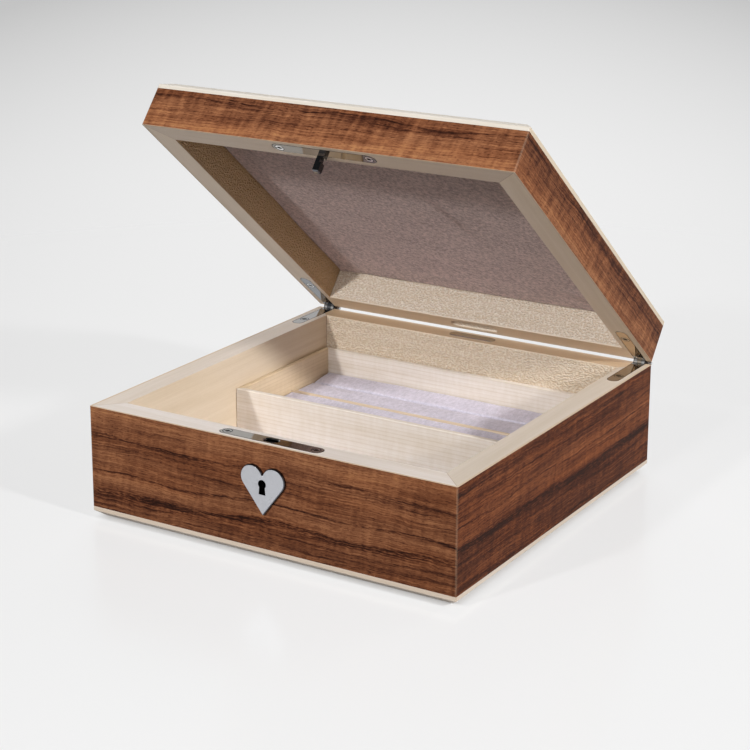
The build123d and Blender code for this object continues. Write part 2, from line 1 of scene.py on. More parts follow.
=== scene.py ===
"""A square display box for cufflinks: walnut outside, pale sycamore inside, with a suede-lined tray.

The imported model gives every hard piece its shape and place. This file dresses those pieces, makes
the suede and felt pieces that stand for the plain soft solids, and lights the box on a pale table.
"""

import logging
import math
from dataclasses import dataclass
from enum import Enum
from functools import cache
from typing import Any, Optional, Sequence, Union

import bpy
import numpy as np
from mathutils import Matrix, Vector


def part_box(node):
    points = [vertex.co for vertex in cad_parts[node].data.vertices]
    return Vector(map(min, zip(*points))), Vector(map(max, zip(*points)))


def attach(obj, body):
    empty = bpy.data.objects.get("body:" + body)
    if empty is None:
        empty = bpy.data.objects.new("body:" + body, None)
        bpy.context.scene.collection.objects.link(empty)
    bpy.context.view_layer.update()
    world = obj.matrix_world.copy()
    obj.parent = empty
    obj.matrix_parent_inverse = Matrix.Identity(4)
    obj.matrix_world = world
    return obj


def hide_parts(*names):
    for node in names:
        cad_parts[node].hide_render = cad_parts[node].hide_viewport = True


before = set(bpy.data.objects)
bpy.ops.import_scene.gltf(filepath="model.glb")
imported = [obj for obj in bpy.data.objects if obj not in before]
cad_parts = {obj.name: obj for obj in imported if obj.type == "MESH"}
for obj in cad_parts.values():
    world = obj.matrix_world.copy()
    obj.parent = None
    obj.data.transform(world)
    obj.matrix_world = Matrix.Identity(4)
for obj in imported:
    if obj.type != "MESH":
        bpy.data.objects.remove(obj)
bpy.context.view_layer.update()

LOG = logging.getLogger("cufflink_box")

MM = 0.001
Colour = tuple[int, int, int]
Linear = tuple[float, float, float, float]
Key = Union[str, int]
Operand = Union["Wire", float, Sequence[float]]
Owner = Union[bpy.types.Material, bpy.types.World]


def tint(red: int, green: int, blue: int) -> Linear:
    """Turns a colour written from 0 to 255 into the linear values that a shader works in.

    Args:
        red: The red part.
        green: The green part.
        blue: The blue part.

    Returns:
        Linear red, green, blue and a full alpha.
    """
    parts = np.array([red, green, blue]) / 255.0
    linear = np.where(parts <= 0.04045, parts / 12.92, ((parts + 0.055) / 1.055) ** 2.4)
    return (*map(float, linear), 1.0)


def dyed(tone: Colour, *shares: float) -> Linear:
    """Multiplies a tone by one share, or by one for each of its parts, and gives linear values."""
    each = shares * 3 if len(shares) == 1 else shares
    return tint(*(min(255, int(part * share)) for part, share in zip(tone, each)))


# Near-black painted shade: in the keyhole's bore, at plate edge seams, round screw heads and in screw
# recesses.
PAINTED_SHADE = tint(14, 12, 11)
WHITE = (1.0, 1.0, 1.0, 1.0)
BLACK = (0.0, 0.0, 0.0, 1.0)


class Grain(Enum):
    """The way the wood's fibres run on a piece."""

    ACROSS = "x"
    DEEP = "y"


class Seat(Enum):
    """Where a piece is made: in the base as it stands, or in the lid as it lies closed."""

    BASE = "base"
    LID = "lid"

    @property
    def rim(self) -> float:
        """Gives the height of the piece's rim, in millimetres."""
        return 70.6 if self is Seat.BASE else 70.8

    @property
    def inward(self) -> float:
        """Gives the way from the rim into the piece: down in the base, up in the lid."""
        return -1.0 if self is Seat.BASE else 1.0

    def from_rim(self, z: "Wire", start: float, end: float) -> "Wire":
        """Makes a soft step from 0 to 1 between two depths inward of the rim, in millimetres."""
        return z.rise(self.rim + self.inward * start, self.rim + self.inward * end)


@dataclass(frozen=True)
class HingeLine:
    """The line the lid turns on, and how far the lid stands open at rest."""

    y: float = 0.1275
    z: float = 0.0707
    open_angle: float = math.radians(39.3)

    def opened(self, points: np.ndarray) -> np.ndarray:
        """Turns points of the closed lid up to where the lid stands at rest.

        Formula: a turn about the hinge line by the open angle, which lifts the front edge.

        Args:
            points: An (n, 3) array in metres, in the closed lid's place.

        Returns:
            The points at rest, an (n, 3) array.
        """
        cosine, sine = math.cos(self.open_angle), math.sin(self.open_angle)
        back, up = points[:, 1] - self.y, points[:, 2] - self.z
        y = self.y + back * cosine + up * sine
        z = self.z - back * sine + up * cosine
        return np.stack([points[:, 0], y, z], axis=1)

    def mapping(self) -> dict[str, Any]:
        """Works out how a point of the open lid is laid back in the closed lid.

        Returns:
            The Mapping node's sockets, in metres and radians.
        """
        cosine, sine = math.cos(self.open_angle), math.sin(self.open_angle)
        turned_y = self.y * cosine - self.z * sine
        turned_z = self.y * sine + self.z * cosine
        return {
            "Rotation": (self.open_angle, 0.0, 0.0),
            "Location": (0.0, self.y - turned_y, self.z - turned_z),
        }


HINGE = HingeLine()


class Wire:
    """One output of a node. Arithmetic on it adds Math nodes to the same tree."""

    def __init__(self, board: "Board", socket: bpy.types.NodeSocket) -> None:
        """Keeps the board the wire belongs to and the socket it starts from."""
        self.board = board
        self.socket = socket

    @property
    def many(self) -> bool:
        """Says whether the wire carries a vector or a colour."""
        return self.socket.type in ("VECTOR", "RGBA")

    def other(self, key: Key) -> "Wire":
        """Gives another output of the node this wire starts from."""
        return Wire(self.board, self.board.find(self.socket.node.outputs, key))

    def __add__(self, other: Operand) -> "Wire":
        """Adds."""
        return self.board.maths("ADD", self, other)

    __radd__ = __add__

    def __sub__(self, other: Operand) -> "Wire":
        """Takes away."""
        return self.board.maths("SUBTRACT", self, other)

    def __rsub__(self, other: Operand) -> "Wire":
        """Takes this wire away from the other value."""
        return self.board.maths("SUBTRACT", other, self)

    def __mul__(self, other: Operand) -> "Wire":
        """Multiplies."""
        return self.board.maths("MULTIPLY", self, other)

    __rmul__ = __mul__

    def __truediv__(self, other: Operand) -> "Wire":
        """Divides."""
        return self.board.maths("DIVIDE", self, other)

    def __rtruediv__(self, other: Operand) -> "Wire":
        """Divides the other value by this wire."""
        return self.board.maths("DIVIDE", other, self)

    def __pow__(self, other: Operand) -> "Wire":
        """Raises to a power."""
        return self.board.maths("POWER", self, other)

    def __abs__(self) -> "Wire":
        """Drops the sign."""
        return self.board.maths("ABSOLUTE", self)

    def sine(self) -> "Wire":
        """Takes the sine."""
        return self.board.maths("SINE", self)

    def at_least(self, other: Operand) -> "Wire":
        """Keeps the larger of the two values."""
        return self.board.maths("MAXIMUM", self, other)

    def rise(self, low: float, high: float) -> "Wire":
        """Makes a soft step.

        Args:
            low: The value up to which the step is 0.
            high: The value from which the step is 1. It may be below low, which turns the step round.

        Returns:
            A wire from 0 to 1.
        """
        settings = {"interpolation_type": "SMOOTHSTEP", "clamp": True}
        if low <= high:
            sockets = {"Value": self, "From Min": low, "From Max": high}
            return self.board.node("ShaderNodeMapRange", settings, sockets)
        return 1.0 - self.rise(high, low)

    def curve(self, points: Sequence[tuple[float, float]]) -> "Wire":
        """Reads a curve through the given points at this value, which runs from 0 to 1."""
        sockets = {"Value": self, "Factor": 1.0}
        return self.board.node("ShaderNodeFloatCurve", {"curve": points}, sockets)


class Board:
    """The node tree of a material or a world, and the one place where its nodes are made."""

    def __init__(self, owner: Owner) -> None:
        """Empties the owner's node tree.

        Args:
            owner: The material or the world.
        """
        owner.use_nodes = True
        self.owner = owner
        self.tree = owner.node_tree
        self.tree.nodes.clear()

    @classmethod
    def named(cls, name: str) -> "Board":
        """Makes a material of that name and gives its empty board."""
        return cls(bpy.data.materials.new(name))

    def node(
        self,
        kind: str,
        settings: Optional[dict[str, Any]] = None,
        sockets: Optional[dict[Key, Any]] = None,
        outlet: Key = 0,
    ) -> Wire:
        """Makes a node of that kind, with its settings and sockets, and hands on its outlet."""
        made = self._new(kind, settings or {}, sockets or {})
        return Wire(self, self.find(made.outputs, outlet))

    def _new(
        self, kind: str, settings: dict[str, Any], sockets: dict[Key, Any]
    ) -> bpy.types.Node:
        """Makes a node, sets it and feeds its inputs.

        Args:
            kind: The node's type.
            settings: What is set on it first: its operation, a ramp's stops or a curve's points.
            sockets: The values or wires of its inputs, by name, identifier or number.

        Returns:
            The node.
        """
        made = self.tree.nodes.new(kind)
        for name, value in settings.items():
            if name == "stops":
                self._set_stops(made.color_ramp, value)
            elif name == "curve":
                self._set_curve(made.mapping, value)
            else:
                setattr(made, name, value)
        for key, value in sockets.items():
            self._feed(self.find(made.inputs, key), value)
        return made

    @staticmethod
    def find(sockets: Any, key: Key) -> bpy.types.NodeSocket:
        """Finds a socket of a node.

        Args:
            sockets: The node's inputs or outputs.
            key: The socket's number, its identifier or its name.

        Returns:
            The socket.
        """
        if isinstance(key, int):
            return sockets[key]
        for socket in sockets:
            if socket.identifier == key:
                return socket
        return next(socket for socket in sockets if socket.name == key and socket.enabled)

    @staticmethod
    def _set_stops(ramp: bpy.types.ColorRamp, stops: Sequence[tuple[float, Linear]]) -> None:
        """Puts the stops into a colour ramp.

        Args:
            ramp: The ramp.
            stops: The place and the colour of each stop, in order.
        """
        while len(ramp.elements) > 1:
            ramp.elements.remove(ramp.elements[-1])
        ramp.elements[0].position, ramp.elements[0].color = stops[0]
        for place, colour in stops[1:]:
            ramp.elements.new(place).color = colour

    @staticmethod
    def _set_curve(mapping: bpy.types.CurveMapping, points: Sequence[tuple[float, float]]) -> None:
        """Puts the points into a curve that may leave the range from 0 to 1.

        Args:
            mapping: The curve node's mapping, which starts with two points.
            points: The curve's points, in order.
        """
        mapping.use_clip = False
        curve = mapping.curves[0]
        for _ in range(len(points) - 2):
            curve.points.new(0.5, 0.5)
        for place, point in enumerate(points):
            curve.points[place].location = point
        mapping.update()

    def _feed(self, socket: bpy.types.NodeSocket, value: Any) -> None:
        """Links a wire to a socket, or writes a plain value on it.

        Args:
            socket: The input.
            value: The wire or the value.
        """
        if isinstance(value, Wire):
            self.tree.links.new(value.socket, socket)
        else:
            socket.default_value = value

    def maths(self, operation: str, *values: Operand) -> Wire:
        """Works with numbers or vectors.

        Args:
            operation: The Math or Vector Math operation.
            values: Wires or plain values.

        Returns:
            The result.
        """
        many = [v.many if isinstance(v, Wire) else isinstance(v, (tuple, list)) for v in values]
        if not any(many):
            return self.node("ShaderNodeMath", {"operation": operation}, dict(enumerate(values)))
        if operation == "MULTIPLY" and not all(many):
            vector, number = values if many[0] else values[::-1]
            sockets = {0: vector, "Scale": number}
            return self.node("ShaderNodeVectorMath", {"operation": "SCALE"}, sockets)
        return self.node("ShaderNodeVectorMath", {"operation": operation}, dict(enumerate(values)))

    def place(self, seat: Seat = Seat.BASE) -> tuple[Wire, Wire, Wire]:
        """Gives a point's place in millimetres, for a lid piece in the closed lid.

        Args:
            seat: Whether the piece belongs to the base or the lid.

        Returns:
            The place to the right, to the back and up.
        """
        spot = self.node("ShaderNodeTexCoord", outlet="Object")
        if seat is Seat.LID:
            sockets = {"Vector": spot, **HINGE.mapping()}
            spot = self.node("ShaderNodeMapping", {"vector_type": "POINT"}, sockets)
        x = self.node("ShaderNodeSeparateXYZ", None, {0: spot * (1.0 / MM)})
        return x, x.other(1), x.other(2)

    def join(self, x: Operand, y: Operand, z: Operand) -> Wire:
        """Puts three numbers together as a vector."""
        return self.node("ShaderNodeCombineXYZ", None, {0: x, 1: y, 2: z})

    def noise(
        self, spot: Wire, scale: float = 1.0, detail: float = 2.0, roughness: float = 0.5
    ) -> Wire:
        """Makes smooth noise about 0.5, with so many cells in one unit and so many finer noises."""
        sockets = {"Vector": spot, "Scale": scale, "Detail": detail, "Roughness": roughness}
        return self.node("ShaderNodeTexNoise", {"noise_dimensions": "3D"}, sockets, "Fac")

    def mix(self, share: Operand, first: Any, second: Any, blend: str = "MIX") -> Wire:
        """Mixes two colours.

        Args:
            share: How much of the second colour there is.
            first: The first colour.
            second: The second colour.
            blend: The blend type.

        Returns:
            The mixed colour.
        """
        return self.node(
            "ShaderNodeMix",
            {"data_type": "RGBA", "blend_type": blend, "clamp_factor": True},
            {"Factor_Float": share, "A_Color": first, "B_Color": second},
            "Result_Color",
        )

    def bump(self, height: Wire, depth: float, strength: float = 1.0) -> Wire:
        """Turns heights into a bumped normal.

        Args:
            height: The heights, from 0 to 1.
            depth: How deep the full height is, in metres.
            strength: How much of the bump is used.

        Returns:
            The normal.
        """
        return self.node(
            "ShaderNodeBump", None, {"Height": height, "Distance": depth, "Strength": strength}
        )

    def finish(self, **sockets: Any) -> bpy.types.Material:
        """Closes the material with a Principled shader: its inputs have _ for each space."""
        named = {name.replace("_", " "): value for name, value in sockets.items()}
        return self.close(self.node("ShaderNodeBsdfPrincipled", None, named))

    def close(self, shader: Wire) -> Owner:
        """Ends the tree with a shader.

        Args:
            shader: The shader of the surface, or of the backdrop in a world.

        Returns:
            The material or the world.
        """
        kind = "World" if isinstance(self.owner, bpy.types.World) else "Material"
        self._new(f"ShaderNodeOutput{kind}", {}, {"Surface": shader})
        return self.owner


@dataclass(frozen=True)
class KeyBore:
    """The bore behind the keyhole, where no light comes and shade is painted, in millimetres."""

    half_width: float = 3.3
    half_height: float = 5.6
    middle: float = 45.3
    front: float = -124.95
    back: float = -112.4
    fade: float = 0.1

    def holds(self, x: Wire, y: Wire, z: Wire) -> Wire:
        """Says whether a point lies in the bore.

        Args:
            x: The point's place to the right, in millimetres.
            y: Its place to the back.
            z: Its height.

        Returns:
            0 or 1, with a short fade between them.
        """
        beside = abs(x).rise(self.half_width, self.half_width - self.fade)
        beside = beside * abs(z - self.middle).rise(self.half_height, self.half_height - self.fade)
        behind = y.rise(self.front, self.front + self.fade)
        return beside * behind * y.rise(self.back, self.back - self.fade)


KEY_BORE = KeyBore()


@dataclass(frozen=True)
class Layer:
    """One field of noise in the wood, with its cells per millimetre along and across the grain.

    Each layer of a veneer is read at its own depth of the noise, so no two are alike. Solid wood is
    cut out of the noise, so its layers run through from face to face.
    """

    along: float
    across: float
    depth: float = 0.0
    detail: float = 2.0
    roughness: float = 0.5
    strength: float = 1.0
    slant: float = 0.0
    upward: Optional[float] = None

    def veneer(self, board: Board, along: Wire, down: Wire, seed: float) -> Wire:
        """Reads the layer on a flat face.

        Args:
            board: The material's board.
            along: How far along the grain a point lies, in millimetres.
            down: How far down the face it lies.
            seed: The face's own number.

        Returns:
            A wire from 0 to 1.
        """
        run = along * self.along
        if self.slant > 0.0:
            run = run + down * self.slant
        spot = board.join(run, down * self.across, seed + self.depth)
        return board.noise(spot, detail=self.detail, roughness=self.roughness)

    def solid(self, board: Board, along: Wire, side: Wire, up: Wire, seed: float) -> Wire:
        """Reads the layer in solid wood.

        Args:
            board: The material's board.
            along: How far along the grain a point lies, in millimetres.
            side: How far to the side of it.
            up: How far up.
            seed: The board's own number.

        Returns:
            A wire from 0 to 1.
        """
        upward = self.across if self.upward is None else self.upward
        spot = board.join(along * self.along, side * self.across, up * upward + seed)
        return board.noise(spot, detail=self.detail, roughness=self.roughness)

    def share(self, field: Wire) -> Wire:
        """Gives what the layer adds: its field about the middle, times its strength."""
        return (field - 0.5) * self.strength


@dataclass(frozen=True)
class Streak:
    """A dark line of the walnut's figure that runs along a face.

    The heights are shares of the face's height at even steps along it. The streak fades out over so
    many millimetres above and below them, and it may begin or end at a share of the face's length.
    """

    heights: tuple[float, ...]
    above: float
    below: float
    depth: float
    first: float = 0.0
    last: float = 1.0


def even_curve(values: Sequence[float]) -> list[tuple[float, float]]:
    """Lays values at even steps from 0 to 1, as a curve's points."""
    return [(step / (len(values) - 1), value) for step, value in enumerate(values)]


@dataclass(frozen=True)
class Walnut:
    """Satin walnut veneer on one face of the box.

    The face runs down from its top by its height, and half its length to each side of the middle, in
    millimetres. The zones are its lightness at even steps from the top down.
    """

    name: str
    grain: Grain
    seat: Seat
    top: float
    height: float
    streaks: tuple[Streak, ...]
    zones: tuple[float, ...]
    seed: float
    ripple: float = 0.16
    red: float = 0.0
    half: float = 125.0
    bored: bool = False

    DARK = tint(42, 23, 17)
    DEEP = tint(80, 46, 32)
    MIDDLE = tint(120, 75, 51)
    GOLD = tint(155, 104, 72)
    PALE = tint(178, 126, 84)
    STOPS = ((0.0, DARK), (0.28, DEEP), (0.52, MIDDLE), (0.78, GOLD), (1.0, PALE))
    EDGE_HIGHLIGHT = tint(214, 192, 166)
    RED = tint(244, 208, 170)

    SWAY = Layer(0.018, 0.03, 0.0, 1.0, strength=2.6)
    WANDER = Layer(0.09, 0.06, 3.0, 1.0, strength=1.3)
    FIGURE = Layer(0.010, 0.15, 11.0, strength=0.65)
    LINES = Layer(0.022, 1.05, 17.0, 4.0, 0.62, 1.05)
    FIBRE = Layer(0.16, 3.1, 23.0, 3.0, 0.6, 0.45)
    DASHES = Layer(0.42, 2.7, 31.0, 1.0)
    CURL = Layer(0.20, 0.045, 41.0, 2.0, 0.55, slant=0.035)
    FLECK = Layer(0.28, 1.1, 53.0, strength=0.42)
    BLUSH = Layer(0.012, 0.07, 61.0)

    PORE_SHADE = 0.26
    PORE_DEPTH = 0.00006
    RIPPLE_GAIN = 5.0
    BLUSH_SHARE = 0.22
    CORNER = (249.0, 249.25)
    CORNER_HIGHLIGHT_SHARE = 0.10

    @property
    def flat(self) -> bool:
        """Says whether the veneer lies on the lid's top, where down the face is to the front."""
        return self.height >= 2.0 * self.half

    def streak(
        self, streak: Streak, part: Wire, down: Wire, wobble: Wire, fuzz: Wire
    ) -> Wire:
        """Works out how dark one streak makes each point.

        Args:
            streak: The streak.
            part: How far along the face the point lies, from 0 to 1.
            down: How far below the face's upper edge it lies, in millimetres.
            wobble: A small wander, in millimetres.
            fuzz: Broken lines from 0 to 1 that fray the streak.

        Returns:
            What is taken off the lightness.
        """
        line = part.curve(even_curve(streak.heights)) * self.height
        away = down - line - wobble
        shade = away.rise(-streak.above, 0.0) * away.rise(streak.below, 0.0)
        if streak.first > 0.0:
            shade = shade * part.rise(streak.first - 0.06, streak.first + 0.04)
        if streak.last < 1.0:
            shade = shade * part.rise(streak.last + 0.06, streak.last - 0.04)
        return shade * (1.3 - fuzz) * streak.depth

    def material(self) -> bpy.types.Material:
        """Makes the veneer.

        Lightness is the sum of the face's zones, a slow figure, fibre lines, ripple marks across the
        grain, short dark pores and the named streaks. A ramp from dark brown to gold colours it.

        Returns:
            The material.
        """
        board = Board.named(self.name)
        x, y, z = board.place(self.seat)
        along = x if self.grain is Grain.ACROSS else y
        down = self.top - (y if self.flat else z)
        part = (along + self.half) * (0.5 / self.half)
        sway = self.SWAY.veneer(board, along, down, self.seed)
        wander = self.WANDER.veneer(board, along, down, self.seed)
        wobble = self.SWAY.share(sway) + self.WANDER.share(wander)
        bent = down - wobble * 1.5
        figure, lines, fibre, dashes = (
            layer.veneer(board, along, bent, self.seed)
            for layer in (self.FIGURE, self.LINES, self.FIBRE, self.DASHES)
        )
        curl = self.CURL.veneer(board, along, down, self.seed)
        fleck = self.FLECK.veneer(board, along, bent, self.seed)
        zone = (down * (1.0 / self.height)).curve(even_curve(self.zones))
        light = zone + self.FIGURE.share(figure) + self.LINES.share(lines) + self.FIBRE.share(fibre)
        light = light + (curl - 0.5) * (self.ripple * self.RIPPLE_GAIN) + self.FLECK.share(fleck)
        light = light - dashes.rise(0.56, 0.70) * self.PORE_SHADE
        frayed = fleck.rise(0.36, 0.62) * 0.45 + lines.rise(0.36, 0.60) * 0.6
        for streak in self.streaks:
            light = light - self.streak(streak, part, down, wobble, frayed)
        colour = board.node("ShaderNodeValToRGB", {"stops": self.STOPS}, {"Fac": light}, "Color")
        blush = self.BLUSH.veneer(board, along, down, self.seed).rise(0.35, 0.7)
        # Blush is a random tone; the red share, set for the side faces, is painted shade that darkens
        # and browns them.
        colour = board.mix(blush * self.BLUSH_SHARE + self.red, colour, self.RED, "MULTIPLY")
        # Painted highlight: a pale line on the vertical corners and along the veneer's top edge at the
        # rim.
        if not self.flat:
            corner = (abs(x) + abs(y)).rise(*self.CORNER) * self.CORNER_HIGHLIGHT_SHARE
            lip_highlight = self.seat.from_rim(z, 0.15, 0.05)
            colour = board.mix(corner.at_least(lip_highlight), colour, self.EDGE_HIGHLIGHT)
        if self.bored:
            # Painted shade inside the keyhole's bore.
            colour = board.mix(KEY_BORE.holds(x, y, z), colour, PAINTED_SHADE)
        pores = dashes.rise(0.60, 0.72)
        rough = 0.40 + (fibre - 0.5) * 0.20 + pores * 0.12
        normal = board.bump(fibre * 0.5 + (1.0 - pores) * 0.5, self.PORE_DEPTH, 0.55)
        return board.finish(
            Base_Color=colour, Roughness=rough, Normal=normal, Specular_IOR_Level=0.03
        )


@dataclass(frozen=True)
class Sycamore:
    """Pale sycamore in clear lacquer, plain or with a flecked inner face.

    The pitch is the distance between its rings, in millimetres, or 0 where none show.
    """

    name: str
    grain: Grain
    seat: Seat = Seat.BASE
    flecked: bool = False
    mitred: bool = True
    pitch: float = 0.0
    tone: Colour = (236, 221, 200)
    rim_tone: Optional[Colour] = None
    bounce_warmth: float = 0.0
    seed: float = 0.0
    bored: bool = False

    GROWTH = Layer(0.012, 0.22, strength=0.9)
    LINES = Layer(0.020, 1.1, detail=3.0, roughness=0.6, strength=0.6)
    PORES = Layer(0.45, 4.5, strength=0.45)
    CURL = Layer(0.33, 0.2, detail=1.0, strength=0.5, upward=0.09)
    PEBBLES = Layer(0.64, 0.96, detail=1.0, roughness=0.4, strength=0.40)

    IN_LINES = (0.88, 0.85, 0.79)
    HOLLOW_SHADE = tint(196, 158, 118)
    WARM_BOUNCE = tint(222, 176, 124)
    MITRE = tint(150, 116, 84)
    FLECK_DEPTH = 0.00058
    PORE_DEPTH = 0.00006

    def material(self) -> bpy.types.Material:
        """Makes the wood.

        The colour wanders with long growth lines and fine pores along the grain. The fleck is a field
        of low pebbles, longer along the grain, that fades out at the rim; its colour is partly the
        wood's fleck and partly painted light on the pebble tops and painted shade in the tan hollows. A
        warmth, where asked, paints warm bounce light over the piece. The mitre is a thin brown line
        where the two boards of a corner meet.

        Returns:
            The material.
        """
        board = Board.named(self.name)
        x, y, z = board.place(self.seat)
        along, side = (x, y) if self.grain is Grain.ACROSS else (y, x)
        growth, lines, pores = (
            layer.solid(board, along, side, z, self.seed)
            for layer in (self.GROWTH, self.LINES, self.PORES)
        )
        shade = self.GROWTH.share(growth) + self.LINES.share(lines) + self.PORES.share(pores)
        height = pores * 0.25 + lines * 0.25
        if self.pitch > 0.0:
            rings = ((z + (growth - 0.5) * 2.2) * (2.0 * math.pi / self.pitch)).sine()
            curl = self.CURL.solid(board, along, side, z, self.seed)
            shade = shade + rings.rise(0.2, 1.0) * -0.30 + self.CURL.share(curl)
        if self.flecked:
            inside = self.seat.from_rim(z, 0.2, 1.2)
            pebbles = self.PEBBLES.solid(board, along, side, z, self.seed)
            pebbles = pebbles.rise(0.34, 0.66) * inside
            height = height * 0.2 + pebbles
            # The pebbles' lightness is partly the wood's fleck and partly painted light on their tops.
            shade = shade + self.PEBBLES.share(pebbles) * inside
        base, deep = tint(*self.tone), dyed(self.tone, *self.IN_LINES)
        if self.rim_tone is not None:
            on_rim = self.seat.from_rim(z, 0.3, 0.1)
            base = board.mix(on_rim, base, tint(*self.rim_tone))
            deep = board.mix(on_rim, deep, dyed(self.rim_tone, *self.IN_LINES))
        colour = board.mix(0.5 - shade * 0.8, base, deep)
        if self.flecked:
            # Painted shade: the hollows between the pebbles are tan.
            colour = board.mix((1.0 - pebbles) * inside * 0.30, colour, self.HOLLOW_SHADE)
        # Painted warm bounce light: a warm tint over the whole piece.
        if self.bounce_warmth > 0.0:
            colour = board.mix(self.bounce_warmth, colour, self.WARM_BOUNCE)
        if self.mitred:
            joint = abs(abs(x) - abs(y)).rise(0.34, 0.12)
            colour = board.mix(joint * 0.55, colour, self.MITRE)
        if self.bored:
            # Painted shade inside the keyhole's bore.
            colour = board.mix(KEY_BORE.holds(x, y, z), colour, PAINTED_SHADE)
        if self.flecked:
            normal = board.bump(height, self.FLECK_DEPTH, 1.0)
        else:
            normal = board.bump(height, self.PORE_DEPTH, 0.5)
        rough = 0.44 + (lines - 0.5) * 0.2
        return board.finish(
            Base_Color=colour, Roughness=rough, Normal=normal, Specular_IOR_Level=0.5
        )


@dataclass(frozen=True)
class Plywood:
    """Thin birch plywood: a plain pale face and edges in thin plies."""

    name: str
    seat: Seat = Seat.BASE
    tone: Colour = (214, 190, 156)
    two_plies: float = 2.8

    GRAIN_TONE = tint(188, 158, 118)
    PLY_TONE = tint(170, 132, 92)

    def material(self) -> bpy.types.Material:
        """Makes the plywood: a fine open grain on the faces, and plies that show at the edges.

        Returns:
            The material.
        """
        board = Board.named(self.name)
        x, y, z = board.place(self.seat)
        grain = board.noise(board.join(x * 0.02, y * 0.8, z * 0.1), detail=4.0, roughness=0.6)
        plies = (z * (2.0 * math.pi / self.two_plies)).sine().rise(-0.1, 0.1)
        colour = board.mix(grain, tint(*self.tone), self.GRAIN_TONE)
        colour = board.mix(plies * 0.25, colour, self.PLY_TONE)
        rough = 0.6 + (grain - 0.5) * 0.2
        return board.finish(
            Base_Color=colour, Roughness=rough, Normal=board.bump(grain, 0.0001, 0.5)
        )


@dataclass(frozen=True)
class Suede:
    """Brushed suede cloth with a short nap that lies in patches.

    The grain scale is in cells per millimetre, and the lay draws the grains out towards the back.
    """

    name: str
    tone: Colour
    seat: Seat = Seat.BASE
    nap: float = 0.0002
    grain_scale: float = 1.5
    speckle: float = 0.35
    patches: float = 0.5
    lay: float = 1.0

    NAP_SCALE = 1.9
    PEBBLE_SCALE = 0.62
    NAP_SHARE = 1.8
    PEBBLE_SHARE = 1.9
    STROKE_SHARE = 0.5
    LIGHT = 1.11
    DARK = 0.81

    def material(self) -> bpy.types.Material:
        """Makes the cloth: nap grains, soft pebbles, slow brushed patches and the strokes in them.

        Returns:
            The material.
        """
        board = Board.named(self.name)
        x, y, z = board.place(self.seat)
        spot = board.join(x, y * self.lay, z)
        nap = board.noise(spot, self.grain_scale * self.NAP_SCALE, 3.0, 0.65)
        pebble = board.noise(spot, self.grain_scale * self.PEBBLE_SCALE, 2.0, 0.5)
        brushed = board.noise(board.join(x * 0.035, y * 0.075, z * 0.05), detail=2.0)
        strokes = board.noise(board.join(x * 0.30 + y * 0.12, y * 0.5, z * 0.3), detail=2.0)
        shade = (nap - 0.5) * (self.speckle * self.NAP_SHARE)
        shade = shade + (pebble - 0.5) * (self.speckle * self.PEBBLE_SHARE)
        shade = shade + (brushed - 0.5) * self.patches
        shade = shade + (strokes - 0.5) * (self.patches * self.STROKE_SHARE)
        colour = board.mix(shade + 0.5, dyed(self.tone, self.DARK), dyed(self.tone, self.LIGHT))
        return board.finish(
            Base_Color=colour,
            Roughness=0.86 + (nap - 0.5) * 0.2,
            Normal=board.bump(nap * 0.6 + pebble * 0.4, self.nap, 0.9),
            Sheen_Weight=0.15,
            Sheen_Roughness=0.45,
            Sheen_Tint=(1.0, 0.97, 0.95, 1.0),
            Specular_IOR_Level=0.1,
        )


@dataclass(frozen=True)
class Outline:
    """The rounded outline of a plate, or of two plates one each side of the middle, in millimetres.

    A plate's straight core runs between its two round ends, across the box or towards its back.
    """

    grain: Grain
    beside: float
    start: float
    end: float
    half_width: float
    screw: tuple[float, float]
    ring: float = 2.7

    def from_core(self, x: Wire, y: Wire) -> Wire:
        """Works out how far a point lies from the plate's core line.

        Args:
            x: The point's place to the right, in millimetres.
            y: Its place to the back.

        Returns:
            The distance, in millimetres.
        """
        along, across = (abs(x), y) if self.grain is Grain.ACROSS else (y, abs(x))
        middle, half = (self.start + self.end) / 2, (self.end - self.start) / 2
        past = (abs(along - middle) - half).at_least(0.0)
        return (past**2.0 + (across - self.beside) ** 2.0) ** 0.5

    def seams(self, x: Wire, y: Wire) -> Wire:
        """Gives the thin shade where the plate's softened edge meets the wood, from 0 to 1."""
        return self.from_core(x, y).rise(self.half_width - 0.62, self.half_width - 0.38)

    def from_screw(self, x: Wire, y: Wire) -> Wire:
        """Works out how far a point lies from the nearer screw's axis."""
        return ((abs(x) - self.screw[0]) ** 2.0 + (y - self.screw[1]) ** 2.0) ** 0.5

    def screw_seat(self, x: Wire, y: Wire) -> Wire:
        """Gives the shade of the ring round each screw head, from 0 to 1."""
        return abs(self.from_screw(x, y) - self.ring).rise(0.48, 0.28)


LOCK_OUTLINE = Outline(Grain.ACROSS, -117.25, -30.5, 30.5, 4.5, (30.2, -117.25))
LEAF_OUTLINE = Outline(Grain.DEEP, 117.0, 86.0, 128.0, 4.0, (117.0, 93.5))


